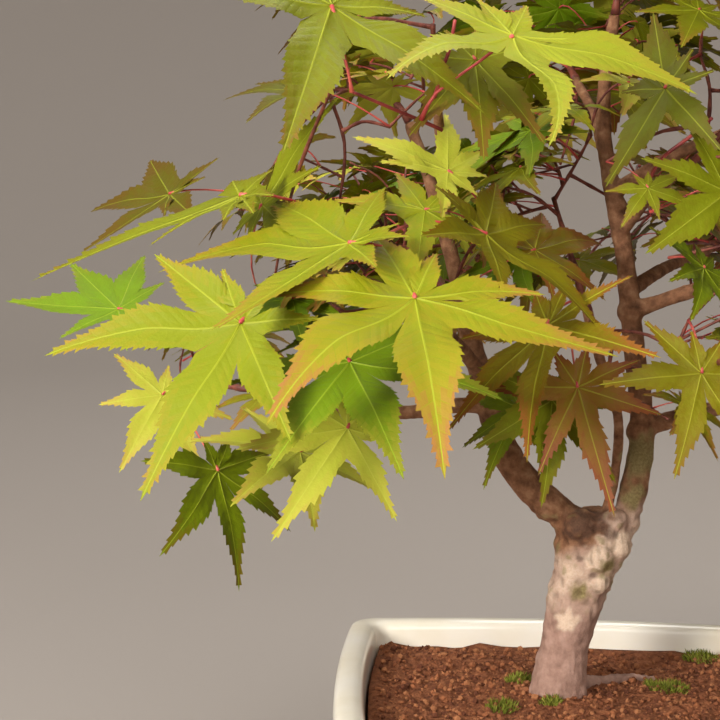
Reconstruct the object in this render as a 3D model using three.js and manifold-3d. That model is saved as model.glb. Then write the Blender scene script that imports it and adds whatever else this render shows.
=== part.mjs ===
// A japanese maple bonsai growing in a cream glazed rectangular pot.
// Millimetres, +Z up. The origin is the middle of the pot's flat underside,
// +X is to the viewer's right and -Y is the side that faces the viewer.

import * as THREE from 'three';
import { mergeVertices } from 'three/addons/utils/BufferGeometryUtils.js';
import Module from 'manifold-3d';

const wasm = await Module();
wasm.setup();

// Driving sizes

// The gap between solids that don't join.
const CLEARANCE = 0.3;

// The pot's plan at its rim. Its corners tighten as the plan is drawn in.
const POT = {
  length: 154,
  width: 118,
  height: 62,
  longBow: 4.5,
  shortBow: 2,
  bowPlaces: [-0.6, -0.2, 0.2, 0.6],
  cornerRadius: 9,
  leastCornerRadius: 4,
  cornerTightening: 0.4,
  cornerSteps: 3,
};
const SOIL_LEVEL = 55;

// Rings of the pot and the soil, [inset from the rim's plan, height]. The
// pot's run up the outside, over the rim and down to the floor inside.
const POT_PROFILE = [
  [14, 0], [12.5, 2], [5, 50], [1, 51.5], [0, 53.5], [0, 59.5], [1.2, 61.4],
  [3.4, POT.height], [6, POT.height], [8.2, 61], [9, 58.5], [9.4, 50], [15, 12], [19, 8],
];
const SOIL_PROFILE = [[19.6, 8.5], [15.6, 12.3], [10, 50], [9.8, 53], [17, 54.4], [30, SOIL_LEVEL]];

const BOUGH_SIDES = 7;
const TRUNK_SIDES = 14;
const TWIG_SIDES = 3;

// Lobe and notch lengths are shares of the leaf's size, from the middle lobe
// round to the last, and heelAngle is where the petiole joins the rim.
const LEAF = {
  size: [26, 38],
  lobeAngles: [0, 50, 102, 158],
  lobeLengths: [1, 0.96, 0.76, 0.38],
  notchLengths: [0.3, 0.27, 0.17],
  halfLobeWidth: 0.13,
  thickness: 1.8,
  heel: 2,
  heelAngle: 154,
  petioleRadius: 0.55,
  petioleLength: [18, 30],
  footOffset: 0.35,
};

// Room that a leaf keeps: in its own space, between its petiole and a limb,
// between its midribs and another leaf's, and how far off others are ignored.
const LEAF_ROOM = { space: 1, petiole: 1.5, midribs: 2, ignored: 90 };

// A leaf that finds no room is tried again in a new pose and a little smaller.
const LEAF_TRIES = 12;
const LEAF_SHRINK = 0.025;

// How a leaf hangs: the pull of its petiole outward, along the twig and up,
// the pull of its blade outward, and the ranges of its angles and droop.
const HANG = {
  outward: [0.3, 1],
  alongTwig: 0.3,
  rise: [-0.1, 0.6],
  bladeOutward: 0.8,
  turnSpread: 50,
  dip: [8, 50],
  rollSpread: 40,
  droop: [0, 0.25],
};

// Places on a twig are shares of its length, and a target's share is of the
// mass's half sizes.
const TWIG = {
  stemRadius: 1.9,
  radius: 1.35,
  tipRadius: 1.15,
  stretches: 2,
  stemStretches: 3,
  stemBend: 0.4,
  stemSwelling: 0.2,
  sway: 0.25,
  lift: 0.6,
  leafPlaces: [0.28, 0.6, 0.92],
  forkPlaces: [0.2, 0.36, 0.52, 0.68, 0.84, 0.98],
  targetShare: [0.55, 0.85],
  rootOffset: 0.5,
  leastLength: 10,
  room: 0.5,
};

const GOLDEN_ANGLE = Math.PI * (3 - Math.sqrt(5));

// Corners of a joined mass that stand out less than this are smoothed away.
const SMOOTHING = 0.08;

// How far the crown reaches out from its axis at each height: [height, radius].
const CROWN_AXIS = [-3, 2];
const CROWN_DEPTH = 0.86;
const CROWN_OUTLINE = [
  [96, 118],
  [120, 140],
  [150, 162],
  [185, 174],
  [215, 146],
  [235, 118],
  [275, 106],
  [305, 84],
  [334, 18],
];

// Leaves grown by rule stay behind the named leaves that face the viewer,
// which hang forward and down from petioles of this length.
const NAMED_LEAF_SCREEN = { right: 12, front: -68 };
const NAMED_PETIOLE = { length: 27, behind: 0.8, under: 0.6 };

// The trunk's rings, [x, y, z, half width, half depth], from the flat cut at
// soil level through the waist to the knobbly fork.
const TRUNK_FLARE = { rings: 2, height: 0.06, ridges: 3, start: 0.6 };
const TRUNK_RINGS = [
  [-12, 0, SOIL_LEVEL + CLEARANCE, 9.8, 9.4],
  [-11.5, 0, 59, 8.5, 8.2],
  [-9.3, 0, 70, 7.4, 7.3],
  [-6.2, 0, 83, 9, 8.2],
  [-4.3, 0, 91.5, 9.6, 8.6],
  [-1.9, 0, 98, 11.4, 9],
  [-0.6, 0, 105, 12, 9],
  [0.4, 0, 110, 9.6, 7.6],
  [0.8, 0, 113, 6, 5],
];

// Each bough: the limb it grows from, its thickness at both ends and its route.
const BOUGHS = {
  left_bough: {
    from: 'trunk',
    radii: [5.4, 3],
    route: [
      [-4, 0, 105], [-16.6, 0, 115.3], [-26, 0, 125], [-31.5, 0, 136],
      [-35.5, 1, 150], [-38.6, 3, 158], [-42, 6, 170],
    ],
  },
  left_side_bough: {
    from: 'left_bough',
    radii: [2.6, 1.5],
    route: [[-33.5, 0, 144], [-45.6, -1, 143.5], [-61, 0, 141], [-84, 2, 142], [-104, 4, 146]],
  },
  left_front_bough: {
    from: 'left_bough',
    radii: [2.4, 1.5],
    route: [[-36, 1.5, 152], [-44, -14, 163], [-52, -32, 172]],
  },
  left_back_bough: {
    from: 'left_bough',
    radii: [2.4, 1.5],
    route: [[-39, 3.5, 160], [-45, 22, 172], [-52, 42, 181]],
  },
  left_upper_bough: {
    from: 'left_bough',
    radii: [2.6, 1.7],
    route: [[-41.5, 6, 168], [-47, 9, 190], [-54, 10, 212], [-60, 11, 228]],
  },
  left_upper_front_bough: {
    from: 'left_upper_bough',
    radii: [1.9, 1.4],
    route: [[-48.5, 9.5, 197], [-50, -10, 214], [-52, -32, 230]],
  },
  right_bough: {
    from: 'trunk',
    radii: [5.6, 1.7],
    route: [
      [5, 0, 104], [9.6, 0, 112], [11.6, 0, 125], [12.2, 0, 135], [10.8, 0, 147],
      [7.7, 0, 167], [4.9, 0, 188], [1.5, 2, 204], [-2, 6, 225], [-2, 7, 243], [0, 6, 260],
    ],
  },
  middle_shoot: {
    from: 'trunk',
    radii: [1.6, 1.4],
    route: [[0.8, -1, 108], [3.6, -3, 124], [3.4, -8, 142], [-3, -12, 160], [-8, -12, 176]],
  },
  front_bough: {
    from: 'right_bough',
    radii: [2.2, 1.4],
    route: [[10.5, 0, 150], [16, -16, 156], [20, -36, 161]],
  },
  front_upper_bough: {
    from: 'right_bough',
    radii: [2, 1.4],
    route: [[3, 1, 196], [10, -16, 208], [18, -34, 217]],
  },
  right_low_bough: {
    from: 'right_bough',
    radii: [2.8, 1.5],
    route: [[12, 0, 138], [30, 3, 143], [54, 8, 147], [78, 12, 150]],
  },
  right_front_bough: {
    from: 'right_bough',
    radii: [2.4, 1.4],
    route: [[7, 0, 173], [26, -10, 181], [46, -22, 187], [62, -32, 190]],
  },
  right_upper_bough: {
    from: 'right_bough',
    radii: [2.3, 1.4],
    route: [[1, 2.6, 208], [20, 4, 220], [42, 6, 229], [56, 7, 233]],
  },
  back_bough: {
    from: 'right_bough',
    radii: [2.4, 1.4],
    route: [[6.5, 0, 179], [18, 20, 184], [32, 42, 188], [40, 54, 190]],
  },
  back_upper_bough: {
    from: 'right_bough',
    radii: [2, 1.4],
    route: [[-1.5, 5, 219], [-4, 20, 232], [-8, 36, 243]],
  },
};

// Each mass of foliage: the bough its stem meets, the middle of its space, its
// half sizes, how many twigs leave its stem and its own seed.
const MASSES = {
  left_front_mass: {
    bough: 'left_front_bough', middle: [-76, -64, 176], reach: [60, 44, 36], twigs: 6, seed: 11,
  },
  left_upper_front_mass: {
    bough: 'left_upper_front_bough', middle: [-54, -62, 250], reach: [46, 40, 36], twigs: 6, seed: 12,
  },
  left_low_mass: {
    bough: 'left_side_bough', middle: [-122, 14, 146], reach: [48, 54, 36], twigs: 8, seed: 13,
  },
  left_upper_mass: {
    bough: 'left_upper_bough', middle: [-84, 22, 238], reach: [52, 50, 46], twigs: 8, seed: 14,
  },
  left_back_mass: {
    bough: 'left_back_bough', middle: [-66, 90, 188], reach: [62, 48, 44], twigs: 8, seed: 15,
  },
  front_mass: {
    bough: 'front_bough', middle: [24, -72, 166], reach: [50, 44, 36], twigs: 7, seed: 16,
  },
  front_upper_mass: {
    bough: 'front_upper_bough', middle: [28, -66, 238], reach: [48, 46, 44], twigs: 8, seed: 17,
  },
  heart_mass: {
    bough: 'middle_shoot', middle: [-16, 10, 206], reach: [40, 34, 34], twigs: 6, seed: 18,
  },
  right_front_mass: {
    bough: 'right_front_bough', middle: [100, -50, 194], reach: [54, 50, 44], twigs: 8, seed: 19,
  },
  right_low_mass: {
    bough: 'right_low_bough', middle: [112, 40, 158], reach: [52, 54, 38], twigs: 8, seed: 20,
  },
  right_upper_mass: {
    bough: 'right_upper_bough', middle: [84, 18, 242], reach: [52, 54, 46], twigs: 9, seed: 21,
  },
  right_back_mass: {
    bough: 'back_bough', middle: [38, 98, 190], reach: [58, 46, 44], twigs: 8, seed: 22,
  },
  back_upper_mass: {
    bough: 'back_upper_bough', middle: [-6, 72, 250], reach: [56, 46, 46], twigs: 9, seed: 23,
  },
  top_mass: {
    bough: 'right_bough', middle: [0, -4, 292], reach: [62, 56, 36], twigs: 9, seed: 24,
  },
};

// The leaves that show best: where the lobes meet, where the middle lobe
// points (turn from +X, dip below level), the roll about it and its length.
const NAMED_LEAVES = [
  { mass: 'left_front_mass', at: [-57, -86, 182], turn: -78, dip: 34, roll: 7, size: 53, droop: 0.1 },
  { mass: 'left_front_mass', at: [-101, -75, 174], turn: -135, dip: 50, roll: -25, size: 50, droop: 0 },
  { mass: 'left_front_mass', at: [-74, -75, 195], turn: 171, dip: 16, roll: -21, size: 48, droop: 0 },
  { mass: 'left_front_mass', at: [-74, -64, 146], turn: -120, dip: 55, roll: -40, size: 33, droop: 0.1 },
  { mass: 'left_front_mass', at: [-39, -60, 197], turn: -4, dip: 38, roll: 20, size: 46, droop: 0 },
  { mass: 'left_upper_front_mass', at: [-79, -78, 253], turn: -99, dip: 45, roll: -30, size: 47, droop: 0 },
  { mass: 'left_upper_front_mass', at: [-34, -70, 247], turn: -80, dip: 35, roll: -6, size: 48, droop: 0 },
  { mass: 'left_low_mass', at: [-114, -16, 125], turn: -46, dip: 62, roll: -6, size: 36, droop: 0.1 },
  { mass: 'left_low_mass', at: [-152, 30, 168], turn: 180, dip: 8, roll: -28, size: 34, droop: 0 },
  { mass: 'left_low_mass', at: [-136, 20, 142], turn: -130, dip: 45, roll: -40, size: 29, droop: 0.1 },
  { mass: 'left_upper_mass', at: [-133, 13, 205], turn: 180, dip: 34, roll: -24, size: 37, droop: 0 },
  { mass: 'front_mass', at: [-12, -40, 155], turn: -70, dip: 62, roll: 30, size: 35, droop: 0.1 },
  { mass: 'front_mass', at: [18, -60, 162], turn: -110, dip: 60, roll: -30, size: 32, droop: 0 },
  { mass: 'front_upper_mass', at: [8, -45, 236], turn: -120, dip: 60, roll: 0, size: 36, droop: 0 },
];

// Numbers and vectors

function seeded(seed) {
  let state = seed >>> 0;
  return () => {
    state = (state + 0x6d2b79f5) >>> 0;
    let mixed = Math.imul(state ^ (state >>> 15), state | 1);
    mixed = (mixed + Math.imul(mixed ^ (mixed >>> 7), mixed | 61)) ^ mixed;
    return ((mixed ^ (mixed >>> 14)) >>> 0) / 4294967296;
  };
}

const vector = (point) => new THREE.Vector3(...point);
const radians = (degrees) => (degrees * Math.PI) / 180;
const between = ([low, high], share) => low + (high - low) * share;
const moved = (point, direction, distance) => point.clone().addScaledVector(direction, distance);

function lookUp(table, key) {
  for (let i = 1; i < table.length; i += 1) {
    const [x0, y0] = table[i - 1];
    const [x1, y1] = table[i];
    if (key <= x1) return y0 + ((y1 - y0) * Math.max(0, key - x0)) / (x1 - x0);
  }
  return 0;
}

// The least distance between segments a0-a1 and b0-b1.
function segmentGap(a0, a1, b0, b1) {
  const u = a1.clone().sub(a0);
  const v = b1.clone().sub(b0);
  const w = a0.clone().sub(b0);
  const uu = u.dot(u);
  const uv = u.dot(v);
  const vv = v.dot(v);
  const det = uu * vv - uv * uv;
  const clamp = (value) => Math.min(1, Math.max(0, value));
  let s = det > 1e-9 ? clamp((uv * v.dot(w) - vv * u.dot(w)) / det) : 0;
  const t = clamp((uv * s + v.dot(w)) / vv);
  s = clamp((uv * t - u.dot(w)) / uu);
  return moved(a0, u, s).distanceTo(moved(b0, v, t));
}

// Solids

function geometryOf(points, faces) {
  const geometry = new THREE.BufferGeometry();
  const positions = points.flatMap((point) => [point.x, point.y, point.z]);
  geometry.setAttribute('position', new THREE.Float32BufferAttribute(positions, 3));
  geometry.setIndex(faces.flat());
  return geometry;
}

// A closed body through rings of equal count, each ring counterclockwise seen
// from the end it runs towards.
function loft(rings) {
  const count = rings[0].length;
  const faces = [];
  for (let i = 1; i < count - 1; i += 1) faces.push([0, i + 1, i]);
  for (let ring = 0; ring < rings.length - 1; ring += 1) {
    for (let i = 0; i < count; i += 1) {
      const a = ring * count + i;
      const b = ring * count + ((i + 1) % count);
      faces.push([a, b, b + count], [a, b + count, a + count]);
    }
  }
  const last = (rings.length - 1) * count;
  for (let i = 1; i < count - 1; i += 1) faces.push([last, last + i, last + i + 1]);
  return geometryOf(rings.flat(), faces);
}

function tube(path, radii, sides) {
  let normal = new THREE.Vector3(0, 1, 0);
  const rings = path.map((point, i) => {
    const ahead = path[Math.min(i + 1, path.length - 1)];
    const behind = path[Math.max(i - 1, 0)];
    const tangent = ahead.clone().sub(behind).normalize();
    if (i === 0 && Math.abs(tangent.y) > 0.8) normal = new THREE.Vector3(1, 0, 0);
    normal = moved(normal, tangent, -normal.dot(tangent)).normalize();
    const side = tangent.clone().cross(normal);
    const radius = between(radii, i / (path.length - 1));
    return Array.from({ length: sides }, (_, k) => {
      const angle = (2 * Math.PI * k) / sides;
      return moved(moved(point, normal, radius * Math.cos(angle)), side, radius * Math.sin(angle));
    });
  });
  return loft(rings);
}

function solidOf(geometry) {
  const bare = geometry.clone();
  bare.deleteAttribute('normal');
  bare.deleteAttribute('uv');
  const merged = mergeVertices(bare, 1e-5);
  const vertProperties = new Float32Array(merged.attributes.position.array);
  const triVerts = new Uint32Array(merged.index.array);
  return new wasm.Manifold(new wasm.Mesh({ numProp: 3, vertProperties, triVerts }));
}

// The one largest body of a solid, without loose scraps or sealed hollows.
function mainBody(solid) {
  const bodies = solid.decompose();
  bodies.sort((a, b) => b.volume() - a.volume());
  return bodies[0];
}

function geometryFrom(solid) {
  const mesh = solid.getMesh();
  const geometry = new THREE.BufferGeometry();
  geometry.setAttribute('position', new THREE.BufferAttribute(mesh.vertProperties, 3));
  geometry.setIndex(new THREE.BufferAttribute(mesh.triVerts, 1));
  return geometry;
}

// The pot and its soil

// The pot's plan at one height: a rectangle with bowed sides and round
// corners, drawn in from the rim's plan by an inset.
function potPlan(inset, height) {
  const halfLength = POT.length / 2 - inset;
  const halfWidth = POT.width / 2 - inset;
  const radius = Math.max(POT.cornerRadius - inset * POT.cornerTightening, POT.leastCornerRadius);
  const plan = [];
  const corners = [[1, -1, -90], [1, 1, 0], [-1, 1, 90], [-1, -1, 180]];
  corners.forEach(([sideX, sideY, startAngle], index) => {
    for (let step = 0; step <= POT.cornerSteps; step += 1) {
      const angle = radians(startAngle + (90 * step) / POT.cornerSteps);
      plan.push(new THREE.Vector3(
        sideX * (halfLength - radius) + radius * Math.cos(angle),
        sideY * (halfWidth - radius) + radius * Math.sin(angle),
        height,
      ));
    }
    const upright = index % 2 === 0;
    const reach = upright ? halfWidth - radius : halfLength - radius;
    const bow = upright ? POT.shortBow : POT.longBow;
    for (const place of POT.bowPlaces) {
      const out = bow * (1 - place * place);
      const along = place * reach;
      plan.push(upright
        ? new THREE.Vector3(sideX * (halfLength + out), sideX * along, height)
        : new THREE.Vector3(-sideY * along, sideY * (halfWidth + out), height));
    }
  });
  return plan;
}

// The pot's shell and the soil are both lofted through their own profile.
function potLoft(profile) {
  return loft(profile.map(([inset, height]) => potPlan(inset, height)));
}

// The trunk and its boughs

// The trunk, drawn thicker all round by a distance. Its lowest rings flare
// into ridges.
function trunkLoft(grow = 0) {
  const { rings: flaredRings, height: ridge, ridges, start } = TRUNK_FLARE;
  const rings = TRUNK_RINGS.map(([x, y, z, halfWidth, halfDepth], index) => (
    Array.from({ length: TRUNK_SIDES }, (_, k) => {
      const angle = (2 * Math.PI * k) / TRUNK_SIDES;
      const flare = index < flaredRings ? 1 + ridge * Math.cos(ridges * angle + start) : 1;
      return new THREE.Vector3(
        x + (halfWidth * flare + grow) * Math.cos(angle),
        y + (halfDepth * flare + grow) * Math.sin(angle),
        z + (index === TRUNK_RINGS.length - 1 ? grow : 0),
      );
    })
  ));
  return loft(rings);
}

function boughPath(bough) {
  return bough.route.map(vector);
}

function boughTube(bough, grow = 0) {
  const radii = bough.radii.map((radius) => radius + grow);
  return tube(boughPath(bough), radii, BOUGH_SIDES);
}

// A bough is cut clear of the limb it grows from.
function boughSolid(name) {
  const bough = BOUGHS[name];
  const parent = bough.from === 'trunk'
    ? trunkLoft(CLEARANCE)
    : boughTube(BOUGHS[bough.from], CLEARANCE);
  return mainBody(solidOf(boughTube(bough)).subtract(solidOf(parent)));
}

// Every straight stretch of trunk and bough, with its thickness.
function limbStretches() {
  const stretches = [];
  const add = (name, path, radiusAt) => {
    for (let i = 1; i < path.length; i += 1) {
      stretches.push({ name, start: path[i - 1], end: path[i], radius: radiusAt(i) });
    }
  };
  const trunkPath = TRUNK_RINGS.map(([x, y, z]) => new THREE.Vector3(x, y, z));
  add('trunk', trunkPath, (i) => Math.max(TRUNK_RINGS[i - 1][3], TRUNK_RINGS[i][3]));
  for (const [name, bough] of Object.entries(BOUGHS)) {
    const path = boughPath(bough);
    add(name, path, (i) => between(bough.radii, (i - 1) / (path.length - 1)));
  }
  return stretches;
}

// Leaves

// The directions of a leaf's middle lobe, its left side and its upper face.
function leafAxes({ turn, dip, roll }) {
  const t = radians(turn);
  const d = radians(dip);
  const r = radians(roll);
  const ahead = new THREE.Vector3(Math.cos(t) * Math.cos(d), Math.sin(t) * Math.cos(d), -Math.sin(d));
  const level = new THREE.Vector3(-Math.sin(t), Math.cos(t), 0);
  const above = ahead.clone().cross(level);
  const side = level.clone().multiplyScalar(Math.cos(r)).addScaledVector(above, Math.sin(r));
  return { ahead, side, face: ahead.clone().cross(side) };
}

// A point of the blade, at an angle from the middle lobe and a share of the
// leaf's size from where the lobes meet. The blade sinks away from its middle.
function bladePoint(leaf, angle, share) {
  const { ahead, side, face } = leaf.axes;
  const reach = leaf.size * share;
  return leaf.centre.clone()
    .addScaledVector(ahead, reach * Math.cos(radians(angle)))
    .addScaledVector(side, reach * Math.sin(radians(angle)))
    .addScaledVector(face, -leaf.droop * reach * share);
}

// The rim runs from the middle lobe's tip down the left side, over the heel
// and back up the right side, through every lobe's tip and every notch.
function bladeRim(leaf) {
  const half = [];
  LEAF.lobeAngles.forEach((angle, i) => {
    half.push([angle, LEAF.lobeLengths[i]]);
    if (i < LEAF.notchLengths.length) half.push([(angle + LEAF.lobeAngles[i + 1]) / 2, LEAF.notchLengths[i]]);
  });
  const heelShare = LEAF.heel / leaf.size;
  const left = half.map(([angle, share]) => bladePoint(leaf, angle, share));
  const right = half.slice(1).reverse().map(([angle, share]) => bladePoint(leaf, -angle, share));
  const heel = [LEAF.heelAngle, -LEAF.heelAngle].map((angle) => bladePoint(leaf, angle, heelShare));
  return [...left, ...heel, ...right];
}

// Where the rim holds its heel and the tips of its seven lobes.
const HEEL_INDEX = LEAF.lobeAngles.length + LEAF.notchLengths.length;
const LOBE_TIPS = [0, 2, 4, 6, 9, 11, 13];

function makeLeaf(pose, centre, foot) {
  const leaf = { ...pose, centre, foot, axes: leafAxes(pose) };
  leaf.rim = bladeRim(leaf);
  return leaf;
}

// A blade with its petiole as one closed body.
function leafBody(leaf) {
  const { centre, foot, rim, axes } = leaf;
  const heelLeft = HEEL_INDEX;
  const heelRight = HEEL_INDEX + 1;
  const top = rim.length;
  const bottom = top + 1;
  const footLeft = top + 2;
  const footRight = top + 3;
  const footUnder = top + 4;
  const along = foot.clone().sub(centre).normalize();
  const across = moved(axes.side, along, -axes.side.dot(along)).normalize();
  const under = along.clone().cross(across);
  const points = [
    ...rim,
    moved(centre, axes.face, LEAF.thickness / 2),
    moved(centre, axes.face, -LEAF.thickness / 2),
    moved(foot, across, LEAF.petioleRadius),
    moved(foot, across, -LEAF.petioleRadius),
    moved(foot, under, LEAF.petioleRadius),
  ];
  const faces = [];
  rim.forEach((_, i) => {
    const next = (i + 1) % rim.length;
    faces.push([top, i, next]);
    if (i !== heelLeft) faces.push([bottom, next, i]);
  });
  faces.push(
    [heelRight, heelLeft, footLeft], [heelRight, footLeft, footRight],
    [bottom, heelRight, footRight], [bottom, footRight, footUnder],
    [heelLeft, bottom, footUnder], [heelLeft, footUnder, footLeft],
    [footLeft, footUnder, footRight],
  );
  return geometryOf(points, faces);
}

// Growth

function insideCrown(point) {
  const across = point.x - CROWN_AXIS[0];
  const deep = (point.y - CROWN_AXIS[1]) / CROWN_DEPTH;
  return point.z > CROWN_OUTLINE[0][0] && Math.hypot(across, deep) < lookUp(CROWN_OUTLINE, point.z);
}

// Each mass owns the space that is nearer to its middle than to any other's.
function insideSpace(name, point, room) {
  const middle = vector(MASSES[name].middle);
  return Object.keys(MASSES).every((other) => {
    if (other === name) return true;
    const rival = vector(MASSES[other].middle);
    const lead = rival.distanceToSquared(point) - middle.distanceToSquared(point);
    return lead / (2 * rival.distanceTo(middle)) > room;
  });
}

function clearOfLimbs(start, end, room, stretches) {
  return stretches.every((limb) => segmentGap(start, end, limb.start, limb.end) > limb.radius + room);
}

function twigFits(name, path, stretches) {
  const room = TWIG.stemRadius + TWIG.room;
  return path.slice(1).every((point, i) => (
    insideSpace(name, point, room) && insideCrown(point) && clearOfLimbs(path[i], point, room, stretches)
  ));
}

// The midribs of all seven lobes, as segments from where they meet.
function midribs(leaf) {
  return LOBE_TIPS.map((index) => [leaf.centre, leaf.rim[index]]);
}

function segmentsApart(someSegments, otherSegments, room) {
  return someSegments.every(([a, b]) => otherSegments.every(([c, d]) => segmentGap(a, b, c, d) > room));
}

function leafFits(name, leaf, twigs, leaves, stretches) {
  const ribs = midribs(leaf);
  const halfLobe = leaf.size * LEAF.halfLobeWidth;
  return leaf.rim.every((point) => insideSpace(name, point, LEAF_ROOM.space) && insideCrown(point))
    && insideSpace(name, leaf.centre, LEAF_ROOM.space)
    && clearOfLimbs(leaf.foot, leaf.centre, LEAF_ROOM.petiole, stretches)
    && ribs.every(([start, end]) => clearOfLimbs(start, end, halfLobe, stretches))
    && leaves.every((other) => (
      other.centre.distanceTo(leaf.centre) > LEAF_ROOM.ignored
      || segmentsApart([...ribs, [leaf.centre, leaf.foot]], midribs(other), LEAF_ROOM.midribs)
    ))
    && twigs.every((twig) => segmentsApart(ribs, pathSegments(twig.path), TWIG.radius));
}

function pathSegments(path) {
  return path.slice(1).map((point, i) => [path[i], point]);
}

function behindNamedLeaves(leaf) {
  const { right, front } = NAMED_LEAF_SCREEN;
  return leaf.rim.every((point) => point.x > right || point.y > front);
}

// A point along a twig, with the direction the twig runs there.
function pointAlong(twig, share) {
  const count = twig.path.length - 1;
  const index = Math.min(Math.floor(share * count), count - 1);
  const start = twig.path[index];
  const end = twig.path[index + 1];
  const tangent = end.clone().sub(start).normalize();
  return { point: start.clone().lerp(end, share * count - index), tangent };
}

// The nearest fork that no other twig leaves, a little to the target's side
// of the parent twig's middle.
function nearestFork(twigs, target) {
  let best = null;
  for (const twig of twigs) {
    for (const share of TWIG.forkPlaces) {
      const { point } = pointAlong(twig, share);
      const distance = point.distanceTo(target);
      const taken = twig.forks.includes(share);
      if (!taken && (!best || distance < best.distance)) best = { twig, share, point, distance };
    }
  }
  const toward = target.clone().sub(best.point).normalize();
  return { ...best, start: moved(best.point, toward, TWIG.rootOffset) };
}

// A twig runs from a node to its target in a slight upward bow.
function twigPath(start, target, random) {
  const span = start.distanceTo(target);
  const sway = new THREE.Vector3(random() - 0.5, random() - 0.5, TWIG.lift * random());
  sway.multiplyScalar(TWIG.sway * span);
  return Array.from({ length: TWIG.stretches + 1 }, (_, i) => {
    const t = i / TWIG.stretches;
    return start.clone().lerp(target, t).addScaledVector(sway, 4 * t * (1 - t));
  });
}

function growTwig(name, twigs, target, random, stretches) {
  const fork = nearestFork(twigs, target);
  const path = twigPath(fork.start, target, random);
  if (fork.distance < TWIG.leastLength || !twigFits(name, path, stretches)) return;
  fork.twig.forks.push(fork.share);
  twigs.push({ path, radii: [TWIG.radius, TWIG.tipRadius], forks: [] });
}

// The stem leaves the bough's tip in line with it and bends to the middle.
function growStem(name, stretches) {
  const mass = MASSES[name];
  const boughEnd = boughPath(BOUGHS[mass.bough]).slice(-2);
  const along = boughEnd[1].clone().sub(boughEnd[0]).normalize();
  const root = moved(boughEnd[1], along, CLEARANCE);
  const middle = vector(mass.middle);
  const bend = moved(root, along, TWIG.stemBend * root.distanceTo(middle));
  const path = Array.from({ length: TWIG.stemStretches + 1 }, (_, i) => {
    const t = i / TWIG.stemStretches;
    return root.clone().multiplyScalar((1 - t) * (1 - t))
      .addScaledVector(bend, 2 * t * (1 - t))
      .addScaledVector(middle, t * t);
  });
  const radius = Math.min(TWIG.stemRadius, BOUGHS[mass.bough].radii[1] + TWIG.stemSwelling);
  return { path, radii: [radius, TWIG.radius], forks: [] };
}

// Twig targets wind round the mass in a spiral of even spacing.
function spiralTarget(mass, index, random) {
  const height = 1 - (2 * (index + 0.5)) / mass.twigs;
  const ring = Math.sqrt(1 - height * height);
  const angle = index * GOLDEN_ANGLE + mass.seed;
  const share = between(TWIG.targetShare, random());
  return new THREE.Vector3(
    mass.middle[0] + mass.reach[0] * ring * Math.cos(angle) * share,
    mass.middle[1] + mass.reach[1] * ring * Math.sin(angle) * share,
    mass.middle[2] + mass.reach[2] * height * share,
  );
}

// A petiole leaves its node to one side, a little outward and up, and the
// blade hangs from its end, pointing away from the crown's axis.
function leafAt(node, tangent, side, scale, random) {
  const outward = new THREE.Vector3(node.x - CROWN_AXIS[0], node.y - CROWN_AXIS[1], 0).normalize();
  const across = new THREE.Vector3(-tangent.y, tangent.x, 0).normalize().multiplyScalar(side);
  const along = across
    .addScaledVector(outward, between(HANG.outward, random()))
    .addScaledVector(tangent, HANG.alongTwig);
  along.z = between(HANG.rise, random());
  along.normalize();
  const centre = moved(node, along, between(LEAF.petioleLength, random()));
  const heading = moved(along, outward, HANG.bladeOutward);
  const pose = {
    turn: (Math.atan2(heading.y, heading.x) * 180) / Math.PI + HANG.turnSpread * (random() - 0.5),
    dip: between(HANG.dip, random()),
    roll: HANG.rollSpread * (random() - 0.5),
    size: scale * between(LEAF.size, random()),
    droop: between(HANG.droop, random()),
  };
  return makeLeaf(pose, centre, moved(node, along, LEAF.footOffset));
}

// Leaves grow in pairs, one to each side of their twig.
function growLeaves(name, twig, twigs, leaves, random, stretches) {
  for (const share of TWIG.leafPlaces) {
    const { point, tangent } = pointAlong(twig, share);
    for (const side of [-1, 1]) {
      for (let attempt = 0; attempt < LEAF_TRIES; attempt += 1) {
        const scale = 1 - LEAF_SHRINK * attempt;
        const leaf = leafAt(point, tangent, side, scale, random);
        if (behindNamedLeaves(leaf) && leafFits(name, leaf, twigs, leaves, stretches)) {
          leaves.push(leaf);
          break;
        }
      }
    }
  }
}

// A named leaf hangs on a twig that ends behind and under it.
function growNamedLeaves(name, twigs, leaves, random) {
  for (const { mass, at, ...pose } of NAMED_LEAVES) {
    if (mass !== name) continue;
    const centre = vector(at);
    const { ahead, face } = leafAxes(pose);
    const back = ahead.clone()
      .multiplyScalar(-NAMED_PETIOLE.behind)
      .addScaledVector(face, -NAMED_PETIOLE.under)
      .normalize();
    const foot = moved(centre, back, NAMED_PETIOLE.length);
    const fork = nearestFork(twigs, foot);
    fork.twig.forks.push(fork.share);
    twigs.push({ path: twigPath(fork.start, foot, random), radii: [TWIG.radius, TWIG.tipRadius], forks: [] });
    leaves.push(makeLeaf(pose, centre, foot));
  }
}

function growMass(name, stretches, leaves) {
  const mass = MASSES[name];
  const random = seeded(mass.seed);
  const twigs = [growStem(name, stretches)];
  growNamedLeaves(name, twigs, leaves, random);
  for (let index = 0; index < mass.twigs; index += 1) {
    growTwig(name, twigs, spiralTarget(mass, index, random), random, stretches);
  }
  for (const twig of twigs) growLeaves(name, twig, twigs, leaves, random, stretches);
  return twigs;
}

function massSolid(twigs, leaves) {
  const solids = [
    ...twigs.map((twig) => solidOf(tube(twig.path, twig.radii, TWIG_SIDES))),
    ...leaves.map((leaf) => solidOf(leafBody(leaf))),
  ];
  return mainBody(wasm.Manifold.union(solids).simplify(SMOOTHING));
}

// The whole plant

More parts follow.
